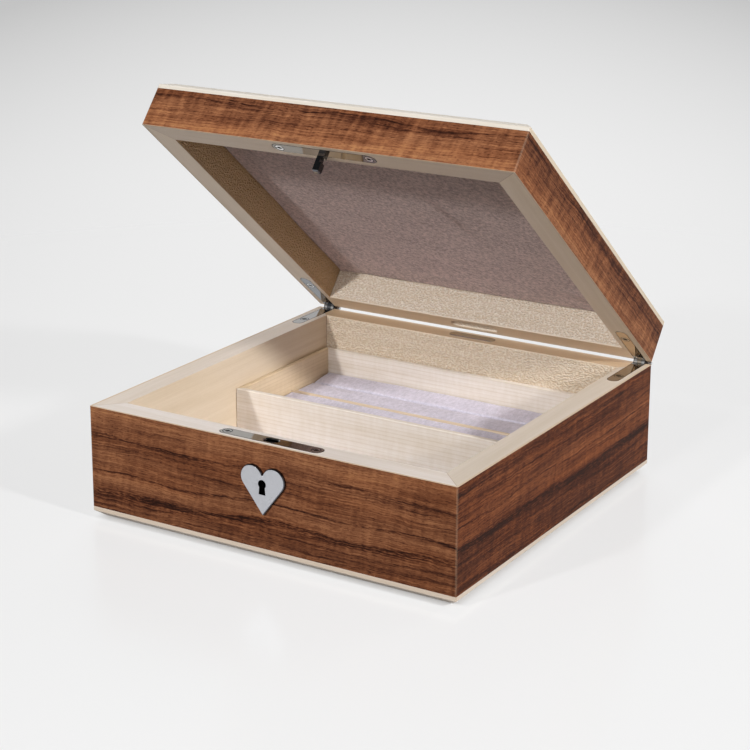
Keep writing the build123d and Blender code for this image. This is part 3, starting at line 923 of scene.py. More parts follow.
@dataclass(frozen=True)
class Nickel:
    """Bright nickel plate, polished, or brushed to a satin on its front face."""

    name: str
    seat: Seat = Seat.BASE
    tone: Colour = (202, 200, 198)
    roughness: float = 0.03
    satin_in_front_of: Optional[float] = None
    satin_tone: Colour = (190, 191, 196)
    edge_reflection_tone: Colour = (84, 84, 90)
    outline: Optional[Outline] = None

    BRUSHED_TONE = tint(150, 150, 155)
    RUB_DEPTH = 0.000004

    def material(self) -> bpy.types.Material:
        """Makes the plate: a faint polish haze, and where it is asked a satin, brushed front face.

        Returns:
            The material.
        """
        board = Board.named(self.name)
        x, y, z = board.place(self.seat)
        haze = board.noise(board.join(x, y, z), 0.35, 3.0)
        rub = board.noise(board.join(x * 7.0, y * 7.0, z * 0.5), 1.0, 2.0)
        rough = self.roughness + (haze - 0.4).at_least(0.0) * 0.12
        colour: Any = tint(*self.tone)
        if self.satin_in_front_of is not None:
            face = y.rise(self.satin_in_front_of + 0.04, self.satin_in_front_of - 0.04)
            rough = rough + face * (0.26 + (rub - 0.5) * 0.12)
            # Painted reflection: the thickness behind the satin face is dark.
            colour = board.mix(face, tint(*self.edge_reflection_tone), tint(*self.satin_tone))
            colour = board.mix((rub - 0.5) * 0.3 + haze * 0.12, colour, self.BRUSHED_TONE)
        if self.outline is not None:
            seam, seat = self.outline.seams(x, y), self.outline.screw_seat(x, y)
            # Painted shade at the plate's edge seam and in a ring round each screw head.
            colour = board.mix((seam * 0.85).at_least(seat * 0.9), colour, PAINTED_SHADE)
        normal = board.bump(haze * 0.5 + rub * 0.5, self.RUB_DEPTH, 0.4)
        return board.finish(Base_Color=colour, Metallic=1.0, Roughness=rough, Normal=normal)


@dataclass(frozen=True)
class ScrewNickel:
    """Nickel on a countersunk screw: a bright head with painted shade in a disc at its middle, over the
    recess.
    """

    name: str
    seat: Seat
    outline: Outline
    tone: Colour = (222, 220, 218)
    recess: float = 1.25

    TURNED_DEPTH = 0.000006

    def material(self) -> bpy.types.Material:
        """Makes the screw's finish: the recess is shaded by the distance from the screw's axis.

        Returns:
            The material.
        """
        board = Board.named(self.name)
        x, y, z = board.place(self.seat)
        away = self.outline.from_screw(x, y)
        turned = board.noise(board.join(away * 3.0, z, 0.0), 1.0, 1.0)
        recess_shade = away.rise(self.recess + 0.2, self.recess - 0.1)
        # Painted shade in a disc at the screw's middle, over the recess.
        colour = board.mix(recess_shade, tint(*self.tone), PAINTED_SHADE)
        normal = board.bump(turned, self.TURNED_DEPTH, 0.4)
        return board.finish(
            Base_Color=colour, Metallic=1.0, Roughness=0.08 + turned * 0.1, Normal=normal
        )


@dataclass(frozen=True)
class LockSteel:
    """Zinc-plated steel inside the lock."""

    name: str

    LIGHT = tint(104, 105, 108)
    CLOUDED = tint(78, 79, 84)
    KEYHOLE_SHADE = tint(20, 20, 22)
    DRAWN_DEPTH = 0.00001

    def material(self) -> bpy.types.Material:
        """Makes the steel: a dull plate with cloudy roughness, faint drawing lines, and painted shade on
        its front behind the keyhole.

        Returns:
            The material.
        """
        board = Board.named(self.name)
        x, y, z = board.place()
        cloud = board.noise(board.join(x, y, z), 0.6, 3.0)
        drawn = board.noise(board.join(x * 0.4, y * 3.0, z * 6.0), 1.0, 2.0)
        colour = board.mix(cloud, self.LIGHT, self.CLOUDED)
        # Painted shade on the front of the steel, behind the keyhole.
        colour = board.mix(y.rise(-120.0, -120.4), colour, self.KEYHOLE_SHADE)
        normal = board.bump(drawn, self.DRAWN_DEPTH, 0.5)
        return board.finish(
            Base_Color=colour, Metallic=1.0, Roughness=0.30 + cloud * 0.2, Normal=normal
        )


@dataclass(frozen=True)
class Baize:
    """Short felt under the box."""

    name: str
    tone: Colour = (64, 60, 58)

    MAT_DEPTH = 0.0003

    def material(self) -> bpy.types.Material:
        """Makes the felt: matted fibres in two noises, dark in the hollows.

        Returns:
            The material.
        """
        board = Board.named(self.name)
        x, y, z = board.place()
        mat = board.noise(board.join(x, y, z), 1.2, 4.0, 0.7)
        hair = board.noise(board.join(x * 3.0, y * 0.6, z), 1.0, 2.0)
        return board.finish(
            Base_Color=board.mix(mat, dyed(self.tone, 0.75), dyed(self.tone, 1.2)),
            Roughness=0.95,
            Normal=board.bump(mat * 0.7 + hair * 0.3, self.MAT_DEPTH),
            Sheen_Weight=0.4,
            Sheen_Roughness=0.5,
            Specular_IOR_Level=0.1,
        )


def clothe(obj: bpy.types.Object, material: bpy.types.Material) -> None:
    """Gives an object one material."""
    obj.data.materials.clear()
    obj.data.materials.append(material)


def dress(material: bpy.types.Material, *nodes: str) -> None:
    """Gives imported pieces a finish.

    Args:
        material: The finish.
        nodes: The pieces' names.
    """
    for name in nodes:
        clothe(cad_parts[name], material)
        LOG.info("%s in %s", name, material.name)


@dataclass(frozen=True)
class Pad:
    """A block of foam under cloth: flat below, crowned above, its upper edges rolled over."""

    length: float
    width: float
    thick: float
    crown: float
    edge: float
    steps_long: int
    steps_wide: int
    end_fall: float = 0.0
    power: float = 2.4
    tilt: float = 0.0
    skirt_steps: int = 4

    END_POWER = 6.0
    END_SHRINK = (0.0, 0.35, 0.7)
    END_MIDDLE = 0.45
    LEAST_HEIGHT = 0.35

    def rows(self) -> np.ndarray:
        """Works out the loops round the pad, one for each station along it.

        Formula: the upper side's height is the edge height, plus the crown times one minus each
        distance from the middle raised to a power, less a quarter circle's fall near each edge. A loop
        goes over the top from front to back, down the skirt, and home under the flat bottom. At both
        ends the last loop shrinks towards its middle in steps, which closes the end.

        Returns:
            An array of stations by points by 3, in metres, about the middle of the pad's underside.
        """
        half_wide = self.width / 2
        x = self._stations(self.length / 2, self.steps_long)
        y = self._stations(half_wide, self.steps_wide)
        top = self._height(x[:, None], y[None, :])
        skirt = np.linspace(1.0, 0.0, self.skirt_steps + 1)[None, 1:]
        back = top[:, -1:] * skirt
        front = top[:, :1] * skirt[:, ::-1]
        under = top[:, 1:-1]
        y_loop = np.concatenate(
            [
                np.broadcast_to(y, top.shape),
                np.broadcast_to(half_wide, back.shape),
                np.broadcast_to(y[::-1][1:-1], under.shape),
                np.broadcast_to(-half_wide, front.shape),
            ],
            axis=1,
        )
        z_loop = np.concatenate([top, back, np.zeros_like(under), front], axis=1)
        x_loop = np.broadcast_to(x[:, None], y_loop.shape)
        loops = np.stack([x_loop, y_loop, z_loop], axis=2)
        shrink = np.array(self.END_SHRINK)[:, None, None] * [0, 1, 1] + [1, 0, 0]
        middle = np.array([0.0, 0.0, self.thick * self.END_MIDDLE])
        first = middle + (loops[:1] - middle) * shrink
        last = middle + (loops[-1:] - middle) * shrink[::-1]
        return np.concatenate([first, loops, last])

    @staticmethod
    def _stations(half: float, steps: int) -> np.ndarray:
        """Spaces stations evenly, with two close ones at each end for the rolled edge.

        Args:
            half: Half of the length they cover.
            steps: The number of even steps.

        Returns:
            The stations, from one end to the other.
        """
        inner = np.linspace(-half, half, steps + 1)
        close = (inner[1] - inner[0]) * np.array([0.2, 0.5])
        return np.sort(np.concatenate([inner, -half + close, half - close]))

    def _height(self, x: np.ndarray, y: np.ndarray) -> np.ndarray:
        """Works out the upper side's height, as rows() says.

        Args:
            x: The stations along the pad, as a column.
            y: The stations across it, as a row.

        Returns:
            The height at each x and y.
        """
        half_long, half_wide = self.length / 2, self.width / 2
        low = self.thick - self.crown
        along = 1.0 - np.abs(x / half_long) ** (self.power * self.END_POWER)
        across = 1.0 - np.abs(y / half_wide) ** self.power
        rolled = np.zeros(np.broadcast_shapes(x.shape, y.shape))
        for way, half, radius in (
            (x, half_long, self.edge + self.end_fall),
            (y, half_wide, self.edge),
        ):
            share = np.clip((np.abs(way) - (half - radius)) / radius, 0.0, 1.0)
            rolled = rolled + radius * (1.0 - np.sqrt(1.0 - share**2))
        slope = self.tilt * 0.5 * y / half_wide
        crowned = low + self.crown * along * across + slope - rolled
        return np.maximum(crowned, low * self.LEAST_HEIGHT)


def skin(name: str, rows: np.ndarray) -> bpy.types.Object:
    """Makes a closed mesh from loops, its first and last loop drawn together into poles.

    Args:
        name: The piece's name.
        rows: Stations by points by 3, in metres.

    Returns:
        The object, at the origin.
    """
    count, around = rows.shape[:2]
    body = rows[1:-1].reshape(-1, 3)
    points = np.concatenate([rows[0].mean(0)[None], body, rows[-1].mean(0)[None]])
    index = 1 + np.arange((count - 2) * around).reshape(count - 2, around)
    after = np.roll(index, -1, axis=1)
    quads = np.stack([index[:-1], after[:-1], after[1:], index[1:]], axis=2).reshape(-1, 4)
    start = np.stack([np.zeros(around, int), after[0], index[0]], axis=1)
    end = np.stack([np.full(around, len(points) - 1), index[-1], after[-1]], axis=1)
    mesh = bpy.data.meshes.new(name)
    mesh.from_pydata(points.tolist(), [], start.tolist() + quads.tolist() + end.tolist())
    mesh.update()
    mesh.shade_smooth()
    obj = bpy.data.objects.new(name, mesh)
    bpy.context.scene.collection.objects.link(obj)
    return obj


def read_points(mesh: bpy.types.Mesh) -> np.ndarray:
    """Reads a mesh's vertices.

    Args:
        mesh: The mesh.

    Returns:
        Its points, an (n, 3) array.
    """
    points = np.zeros(len(mesh.vertices) * 3)
    mesh.vertices.foreach_get("co", points)
    return points.reshape(-1, 3)


def write_points(mesh: bpy.types.Mesh, points: np.ndarray) -> None:
    """Writes an (n, 3) array into a mesh's vertices."""
    mesh.vertices.foreach_set("co", points.ravel())
    mesh.update()


@dataclass(frozen=True)
class Stuffing:
    """How a padded piece swells: the cloth's pressure, the time it has and how far it may go."""

    pressure: float = 4.0
    last_frame: int = 20
    cap: float = 0.0009
    stiffness: float = 12.0

    def swell(self, obj: bpy.types.Object) -> None:
        """Swells a pad with Blender's cloth, holds each point to the cap and keeps the new shape.

        Args:
            obj: The pad, as a closed mesh.
        """
        scene = bpy.context.scene
        before = read_points(obj.data)
        cloth = obj.modifiers.new("swell", "CLOTH")
        cloth.settings.use_pressure = True
        cloth.settings.uniform_pressure_force = self.pressure
        cloth.settings.tension_stiffness = self.stiffness
        cloth.settings.compression_stiffness = self.stiffness
        cloth.settings.effector_weights.gravity = 0.0
        cloth.point_cache.frame_start = 1
        cloth.point_cache.frame_end = self.last_frame
        for step in range(1, self.last_frame + 1):
            scene.frame_set(step)
        shaped = obj.evaluated_get(bpy.context.evaluated_depsgraph_get())
        after = read_points(shaped.data)
        obj.modifiers.remove(cloth)
        scene.frame_set(1)
        moved = after - before
        far = np.linalg.norm(moved, axis=1, keepdims=True)
        write_points(obj.data, before + moved * np.minimum(1.0, self.cap / np.maximum(far, 1e-9)))


def hold(obj: bpy.types.Object, low: Sequence[float], high: Sequence[float]) -> None:
    """Keeps a soft piece inside the walls round it, between two corners in metres."""
    write_points(obj.data, np.clip(read_points(obj.data), low, high))


def refine(obj: bpy.types.Object, levels: int = 1) -> None:
    """Rounds a piece with a subdivision surface, the same in view and render."""
    rounding = obj.modifiers.new("rounding", "SUBSURF")
    rounding.levels = rounding.render_levels = levels


def rumple(
    points: np.ndarray, seed: int, size: float, depth: float, waves: int = 7
) -> np.ndarray:
    """Works out a gentle unevenness over a cloth face.

    Formula: the sum of waves of different headings and lengths, each a sine of the place along its
    heading, scaled so that their sum is mostly within the depth.

    Args:
        points: An (n, 3) array in metres.
        seed: The seed of the waves' headings, phases and lengths.
        size: The usual wavelength, in metres.
        depth: The depth, in metres.
        waves: The number of waves.

    Returns:
        One height for each point.
    """
    draw = np.random.default_rng(seed)
    heading = draw.uniform(0, math.pi, waves)
    phase = draw.uniform(0, 2 * math.pi, waves)
    length = size * draw.uniform(0.6, 1.7, waves)
    along = points[:, :1] * np.cos(heading) + points[:, 1:2] * np.sin(heading)
    heights = np.sin(along * 2 * math.pi / length + phase).sum(1)
    return depth * 0.5 * heights / math.sqrt(waves / 2)


@dataclass(frozen=True)
class Crease:
    """A soft fold in a cloth face, from one place to another, raised or sunk."""

    start: tuple[float, float]
    end: tuple[float, float]
    width: float
    height: float

    def lift(self, points: np.ndarray) -> np.ndarray:
        """Works out the fold's height at each point.

        Formula: a bell across the fold, exp of minus the distance over the width squared, that rises
        and falls along it as a half sine.

        Args:
            points: An (n, 3) array in metres.

        Returns:
            One height for each point.
        """
        start, end = np.array(self.start) * MM, np.array(self.end) * MM
        way = end - start
        share = ((points[:, :2] - start) @ way) / (way @ way)
        foot = start + np.clip(share, 0, 1)[:, None] * way
        away = np.linalg.norm(points[:, :2] - foot, axis=1)
        swell = np.sin(np.clip(share, 0, 1) * math.pi) ** 0.6
        return self.height * MM * np.exp(-((away / (self.width * MM)) ** 2)) * swell


@dataclass(frozen=True)
class Sheet:
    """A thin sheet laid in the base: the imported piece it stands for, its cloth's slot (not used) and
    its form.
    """

    name: str
    node: str
    slot: str
    side: float
    crown: float
    edge: float
    steps: int
    seed: int
    depth: float


@dataclass
class CaseBase:
    """The lower case: four veneered boards, the floor, the plinth and what lines them."""

    walnut_top: float = 70.6
    walnut_height: float = 63.4
    lining: Sheet = Sheet(
        "base_floor_lining", "base_floor_suede", "lilac_suede", 0.2184, 0.0001, 0.0004, 46, 21, 0.00016
    )
    felt: Sheet = Sheet(
        "base_under_felt", "base_felt", "baize", 0.234, 0.00004, 0.00015, 40, 22, 0.00005
    )
    wave_length: float = 0.05

    FRONT_STREAKS = (
        Streak((0.26, 0.26, 0.28, 0.29, 0.27, 0.25, 0.23, 0.225, 0.235, 0.24, 0.26), 1.8, 3.0, 0.28),
        Streak((0.36, 0.35, 0.36, 0.35, 0.34, 0.33, 0.31, 0.29, 0.29, 0.31, 0.33), 1.2, 1.8, 0.14),
        Streak((0.46, 0.45, 0.455, 0.45, 0.44, 0.42, 0.41, 0.41, 0.40, 0.39, 0.41), 0.8, 1.2, 0.12),
        Streak(
            (0.625, 0.608, 0.618, 0.615, 0.573, 0.547, 0.55, 0.56, 0.553, 0.522, 0.558),
            0.8, 1.8, 0.44,
        ),
        Streak(
            (0.82, 0.805, 0.80, 0.80, 0.765, 0.712, 0.715, 0.745, 0.74, 0.705, 0.69),
            1.5, 6.0, 0.50,
        ),
        Streak((0.90, 0.89, 0.88, 0.885, 0.86, 0.83, 0.84, 0.85, 0.86, 0.83, 0.82), 0.7, 1.5, 0.16),
        Streak((0.95, 0.95, 0.94, 0.945, 0.94, 0.92, 0.93, 0.94, 0.94, 0.92, 0.91), 0.6, 1.0, 0.14),
    )
    SIDE_STREAKS = (
        Streak((0.08, 0.10, 0.10, 0.09, 0.11, 0.12, 0.11, 0.10, 0.09, 0.10, 0.10), 1.8, 3.0, 0.16),
        Streak((0.20, 0.21, 0.21, 0.20, 0.21, 0.22, 0.23, 0.22, 0.21, 0.20, 0.21), 1.4, 2.2, 0.13),
        Streak((0.37, 0.39, 0.41, 0.37, 0.378, 0.40, 0.412, 0.412, 0.40, 0.382, 0.395), 0.9, 1.6, 0.32),
        Streak(
            (0.592, 0.603, 0.60, 0.594, 0.60, 0.612, 0.635, 0.635, 0.613, 0.594, 0.607),
            3.0, 6.5, 0.42,
        ),
        Streak((0.71, 0.72, 0.71, 0.72, 0.72, 0.73, 0.74, 0.74, 0.73, 0.72, 0.72), 0.7, 1.4, 0.18),
        Streak((0.79, 0.79, 0.80, 0.80, 0.79, 0.80, 0.82, 0.82, 0.81, 0.80, 0.81), 0.8, 1.4, 0.16),
        Streak((0.93, 0.95, 0.97, 0.97, 0.96, 0.95, 0.96, 0.96, 0.94, 0.93, 0.94), 0.7, 1.4, 0.16),
    )
    FRONT_ZONES = (0.66, 0.66, 0.58, 0.52, 0.54, 0.55, 0.60, 0.60, 0.50, 0.47, 0.48)
    # Painted shade: the side faces' zones are darker than the front's.
    SHADED_SIDE_ZONES = (0.42, 0.40, 0.40, 0.42, 0.52, 0.53, 0.36, 0.34, 0.34, 0.34, 0.34)

    def dress(self) -> None:
        """Dresses the veneers, boards, plinth and floor panel."""
        faces = (
            ("front", Grain.ACROSS, self.FRONT_STREAKS, self.FRONT_ZONES, 2.0, 0.085),
            ("right", Grain.DEEP, self.SIDE_STREAKS, self.SHADED_SIDE_ZONES, 7.0, 0.08),
            ("back", Grain.ACROSS, self.SIDE_STREAKS, self.FRONT_ZONES, 12.0, 0.10),
            ("left", Grain.DEEP, self.FRONT_STREAKS, self.SHADED_SIDE_ZONES, 19.0, 0.08),
        )
        for side, grain, streaks, zones, seed, ripple in faces:
            # Painted shade: the side veneers are darkened and browned by the red share.
            red = 0.55 if grain is Grain.DEEP else 0.0
            veneer = Walnut(
                f"walnut_{side}", grain, Seat.BASE, self.walnut_top, self.walnut_height,
                streaks, zones, seed, ripple, red=red, bored=side == "front",
            )
            dress(veneer.material(), f"base_{side}_walnut")
        # Rim tones by side as light falls: painted light on the pale front rim, painted shade on the
        # darker, warmer back and right rims.
        for side, grain, tone, rim_tone in (
            ("front", Grain.ACROSS, (236, 222, 204), (247, 239, 236)),
            ("back", Grain.ACROSS, (241, 228, 210), (224, 199, 170)),
            ("left", Grain.DEEP, (239, 223, 201), (241, 230, 221)),
            ("right", Grain.DEEP, (236, 220, 198), (231, 220, 209)),
        ):
            wood = Sycamore(
                f"sycamore_base_{side}", grain, flecked=side == "back", tone=tone,
                rim_tone=rim_tone, seed=len(side) * 3.0, bored=side == "front",
            )
            dress(wood.material(), f"base_{side}_board")
            plinth = Sycamore(
                f"sycamore_plinth_{side}", grain, tone=(232, 217, 203), seed=len(side) * 5.0
            )
            dress(plinth.material(), f"plinth_{side}")
        dress(Plywood("birch_ply_base").material(), "base_floor_panel")

    def line(self) -> None:
        """Lays the suede on the floor of the box and the felt under it."""
        self._lay(self.lining, lilac_suede())
        self._lay(self.felt, Baize("baize").material())

    def _lay(self, sheet: Sheet, material: bpy.types.Material) -> None:
        """Makes one thin sheet in the place of a packed one, a little uneven on its upper side.

        Args:
            sheet: The sheet.
            material: Its cloth.
        """
        low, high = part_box(sheet.node)
        pad = Pad(
            sheet.side, sheet.side, high.z - low.z, sheet.crown, sheet.edge, sheet.steps, sheet.steps,
            skirt_steps=1,
        )
        piece = skin(sheet.name, pad.rows() + [0.0, 0.0, low.z])
        points = read_points(piece.data)
        upper = points[:, 2] > low.z + pad.thick * 0.8
        waves = rumple(points[upper], sheet.seed, self.wave_length, sheet.depth)
        points[upper, 2] -= np.abs(waves)
        write_points(piece.data, points)
        clothe(piece, material)
        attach(piece, "base")
        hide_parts(sheet.node)
        LOG.info("%s laid", sheet.name)


@cache
def lilac_suede() -> bpy.types.Material:
    """Makes the lilac suede of the tray and the floor, once for all of its pieces.

    Returns:
        The material.
    """
    suede = Suede(
        "lilac_suede", (213, 208, 221), grain_scale=0.75, speckle=0.40, patches=0.45, lay=0.5
    )
    return suede.material()


@dataclass(frozen=True)
class Cushion:
    """A suede piece of the tray: its name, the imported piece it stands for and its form, in metres."""

    name: str
    node: str
    seed: int
    crown: float = 0.0010
    edge: float = 0.0010
    power: float = 2.2
    tilt: float = 0.0
    low_by: float = 0.0003


@dataclass
class Tray:
    """The tray: four thin sides, a divider, and the pads and rolls that hold the cufflinks."""

    slack: float = 0.0003
    steps_long: int = 62
    step_across: float = 0.0028
    end_fall: float = 0.0002
    swell: float = 0.0006
    wave_length: float = 0.034
    wave_depth: float = 0.00028
    headroom: float = 0.0003

    SIDES = (
        ("front", Grain.ACROSS, (241, 234, 228)),
        ("back", Grain.ACROSS, (241, 234, 228)),
        # Painted shade: the left and right sides are warmer and darker than the front and back.
        ("left", Grain.DEEP, (236, 215, 185)),
        ("right", Grain.DEEP, (236, 215, 185)),
    )
    CUSHIONS = (
        Cushion("tray_pad_front", "tray_front_pad", 31, 0.0001, 0.0003, 3.0, low_by=-0.0001),
        Cushion("tray_roll_front", "tray_front_roll", 32),
        Cushion("tray_roll_back", "tray_back_roll", 33, tilt=0.0018),
    )

    def dress(self) -> None:
        """Dresses the tray's wood."""
        for side, grain, tone in self.SIDES:
            wood = Sycamore(
                f"sycamore_tray_{side}", grain, mitred=False, pitch=2.6, tone=tone,
                seed=40.0 + len(side),
            )
            dress(wood.material(), f"tray_{side}")
        # Painted warm bounce light on the divider.
        divider = Sycamore("sycamore_divider", Grain.ACROSS, mitred=False, bounce_warmth=0.08, seed=9.0)
        dress(divider.material(), "tray_divider")
        dress(Plywood("birch_ply_tray").material(), "tray_floor")

    def stuff(self) -> None:
        """Makes the front pad and the two rolls."""
        for cushion in self.CUSHIONS:
            self._cushion(cushion)

    def _cushion(self, cushion: Cushion) -> None:
        """Makes one cushion: shaped a little small, swollen, and held by its walls.

        Args:
            cushion: The cushion.
        """
        low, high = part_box(cushion.node)
        size, middle = high - low, (high + low) / 2
        pad = Pad(
            size.x - 2 * self.slack, size.y - 2 * self.slack, size.z - cushion.low_by,
            cushion.crown, cushion.edge, self.steps_long, max(8, round(size.y / self.step_across)),
            end_fall=self.end_fall, power=cushion.power, tilt=cushion.tilt,
        )
        piece = skin(cushion.name, pad.rows() + [middle.x, middle.y, low.z])
        Stuffing(cap=self.swell).swell(piece)
        points = read_points(piece.data)
        upper = points[:, 2] > low.z + size.z * 0.6
        waves = rumple(points[upper], cushion.seed, self.wave_length, self.wave_depth)
        points[upper, 2] += waves - 0.0001
        write_points(piece.data, points)
        hold(piece, (low.x, low.y, low.z), (high.x, high.y, high.z + self.headroom))
        refine(piece)
        clothe(piece, lilac_suede())
        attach(piece, "tray")
        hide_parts(cushion.node)
        LOG.info("%s stuffed", cushion.name)


@dataclass
class Lid:
    """The lid: its veneered boards and top, the pale edging and the suede panel inside."""

    walnut_top: float = 96.0
    walnut_height: float = 25.2
    side: float = 250.0
    pad_side: float = 0.2184
    pad_face: float = 0.0901
    pad_back: float = 0.0934
    pad_slack: float = 0.0003
    pad_crown: float = 0.0006
    pad_edge: float = 0.0012
    pad_steps: int = 74
    swell: float = 0.0006
    wave_length: float = 0.07
    wave_depth: float = 0.0004
    edge_fade: float = 0.004

    FRONT_STREAKS = (
        Streak(
            (0.05, 0.10, 0.10, 0.19, 0.20, 0.12, 0.11, 0.18, 0.265, 0.19, 0.15),
            0.7, 1.1, 0.36, first=0.2,
        ),
        Streak((0.12, 0.16, 0.20, 0.30, 0.31, 0.25, 0.24, 0.30, 0.37, 0.31, 0.28), 0.8, 1.6, 0.16),
        Streak((0.52, 0.53, 0.50, 0.52, 0.54, 0.52, 0.50, 0.52, 0.54, 0.53, 0.52), 0.4, 0.6, 0.14),
        Streak((0.70, 0.71, 0.69, 0.72, 0.72, 0.71, 0.70, 0.72, 0.73, 0.72, 0.73), 0.3, 0.6, 0.12),
    )
    SIDE_STREAKS = (
        Streak((0.10, 0.12, 0.11, 0.13, 0.15, 0.16, 0.15, 0.17, 0.20, 0.22, 0.21), 1.0, 2.0, 0.22),
        Streak(
            (0.30, 0.32, 0.31, 0.33, 0.35, 0.34, 0.33, 0.32, 0.30, 0.29, 0.31),
            0.6, 1.4, 0.30, first=0.68,
        ),
        Streak((0.44, 0.46, 0.45, 0.44, 0.46, 0.45, 0.46, 0.47, 0.46, 0.45, 0.46), 1.5, 2.5, 0.14),
    )
    FRONT_ZONES = (0.54, 0.50, 0.50, 0.55, 0.62, 0.69, 0.72, 0.72)
    # Painted shade: the side faces' zones are darker than the front's.
    SHADED_SIDE_ZONES = (0.44, 0.42, 0.44, 0.50, 0.58, 0.64, 0.66, 0.60)
    TOP_STREAKS = (
        Streak((0.10, 0.11, 0.13, 0.12, 0.10, 0.09, 0.10, 0.12), 2.0, 6.0, 0.30),
        Streak((0.22, 0.24, 0.25, 0.23, 0.22, 0.20, 0.21, 0.24), 1.0, 2.2, 0.30),
        Streak((0.38, 0.37, 0.36, 0.38, 0.40, 0.41, 0.39, 0.37), 3.0, 8.0, 0.36),
        Streak((0.52, 0.53, 0.55, 0.54, 0.52, 0.50, 0.51, 0.53), 1.0, 2.0, 0.26),
        Streak((0.66, 0.64, 0.63, 0.65, 0.67, 0.68, 0.66, 0.65), 2.0, 6.0, 0.34),
        Streak((0.83, 0.84, 0.86, 0.85, 0.83, 0.82, 0.83, 0.85), 1.2, 3.0, 0.28),
    )
    TOP_ZONES = (0.58, 0.60, 0.54, 0.58, 0.52, 0.60, 0.56, 0.60, 0.54, 0.60, 0.58)
    CREASES = (
        Crease((72.0, 76.0), (107.0, 98.0), 4.5, 1.6),
        Crease((84.0, 60.0), (108.0, 84.0), 4.0, -1.0),
        Crease((60.0, 90.0), (100.0, 106.0), 4.0, -1.0),
        Crease((-96.0, 40.0), (-30.0, 104.0), 12.0, -0.5),
        Crease((-100.0, -20.0), (-10.0, 70.0), 16.0, 0.45),
        Crease((40.0, -60.0), (100.0, -10.0), 14.0, -0.4),
    )
    TAUPE_SUEDE = Suede("taupe_suede", (191, 170, 164), Seat.LID, 0.0008, 0.75, 1.15, 0.40)

    def dress(self) -> None:
        """Dresses the lid's veneers, boards, edging and top panel."""
        faces = (
            ("front", Grain.ACROSS, self.FRONT_STREAKS, self.FRONT_ZONES, 27.0, 0.15),
            ("right", Grain.DEEP, self.SIDE_STREAKS, self.SHADED_SIDE_ZONES, 33.0, 0.15),
            ("back", Grain.ACROSS, self.SIDE_STREAKS, self.FRONT_ZONES, 38.0, 0.12),
            ("left", Grain.DEEP, self.FRONT_STREAKS, self.SHADED_SIDE_ZONES, 44.0, 0.12),
        )
        for side, grain, streaks, zones, seed, ripple in faces:
            veneer = Walnut(
                f"walnut_lid_{side}", grain, Seat.LID, self.walnut_top, self.walnut_height,
                streaks, zones, seed, ripple,
            )
            dress(veneer.material(), f"lid_{side}_walnut")
        top = Walnut(
            "walnut_lid_top", Grain.ACROSS, Seat.LID, self.side / 2, self.side,
            self.TOP_STREAKS, self.TOP_ZONES, 52.0, 0.10,
        )
        dress(top.material(), "lid_top_walnut")
        # Tones by side as light falls: painted light on the pale back board, painted shade on the warm,
        # dark left board and the darker front rim.
        for side, grain, tone, rim_tone in (
            ("front", Grain.ACROSS, (236, 222, 204), (213, 194, 175)),
            ("back", Grain.ACROSS, (249, 239, 227), (230, 210, 186)),
            ("left", Grain.DEEP, (226, 193, 149), (228, 210, 190)),
            ("right", Grain.DEEP, (234, 216, 190), (228, 209, 187)),
        ):
            wood = Sycamore(
                f"sycamore_lid_{side}", grain, Seat.LID, flecked=True, tone=tone,
                rim_tone=rim_tone, seed=60.0 + len(side) * 3.0,
            )
            dress(wood.material(), f"lid_{side}_board")
            # Painted shade: the right edging is darker and warmer than the others.
            pale = (231, 216, 195) if side == "right" else (238, 232, 225)
            edging = Sycamore(
                f"sycamore_edging_{side}", grain, Seat.LID, tone=pale, seed=80.0 + len(side) * 3.0
            )
            dress(edging.material(), f"lid_edging_{side}")
        dress(Plywood("birch_ply_lid", Seat.LID).material(), "lid_top_panel")

    def stuff(self) -> None:
        """Makes the suede panel: shaped with its crown up, then turned over into the open lid."""
        thick = self.pad_back - self.pad_face
        pad = Pad(
            self.pad_side - 2 * self.pad_slack, self.pad_side - 2 * self.pad_slack,
            thick - 0.0002, self.pad_crown, self.pad_edge, self.pad_steps, self.pad_steps,
            skirt_steps=2, power=3.0,
        )
        piece = skin("lid_suede_panel", pad.rows())
        Stuffing(cap=self.swell).swell(piece)
        reach = self.pad_side / 2
        points = np.clip(read_points(piece.data), (-reach, -reach, 0.0), (reach, reach, 1.0))
        upper = points[:, 2] > thick * 0.55
        lift = rumple(points, 41, self.wave_length, self.wave_depth)
        for crease in self.CREASES:
            lift = lift + crease.lift(points)
        from_edge = reach - np.abs(points[:, :2]).max(1)
        points[upper, 2] += (lift * np.clip(from_edge / self.edge_fade, 0, 1))[upper]
        points[:, 2] = self.pad_back - points[:, 2]
        write_points(piece.data, HINGE.opened(points))
        piece.data.flip_normals()
        refine(piece)
        clothe(piece, self.TAUPE_SUEDE.material())
        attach(piece, "lid")
        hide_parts("lid_suede_pad")
        LOG.info("lid_suede_panel stuffed")


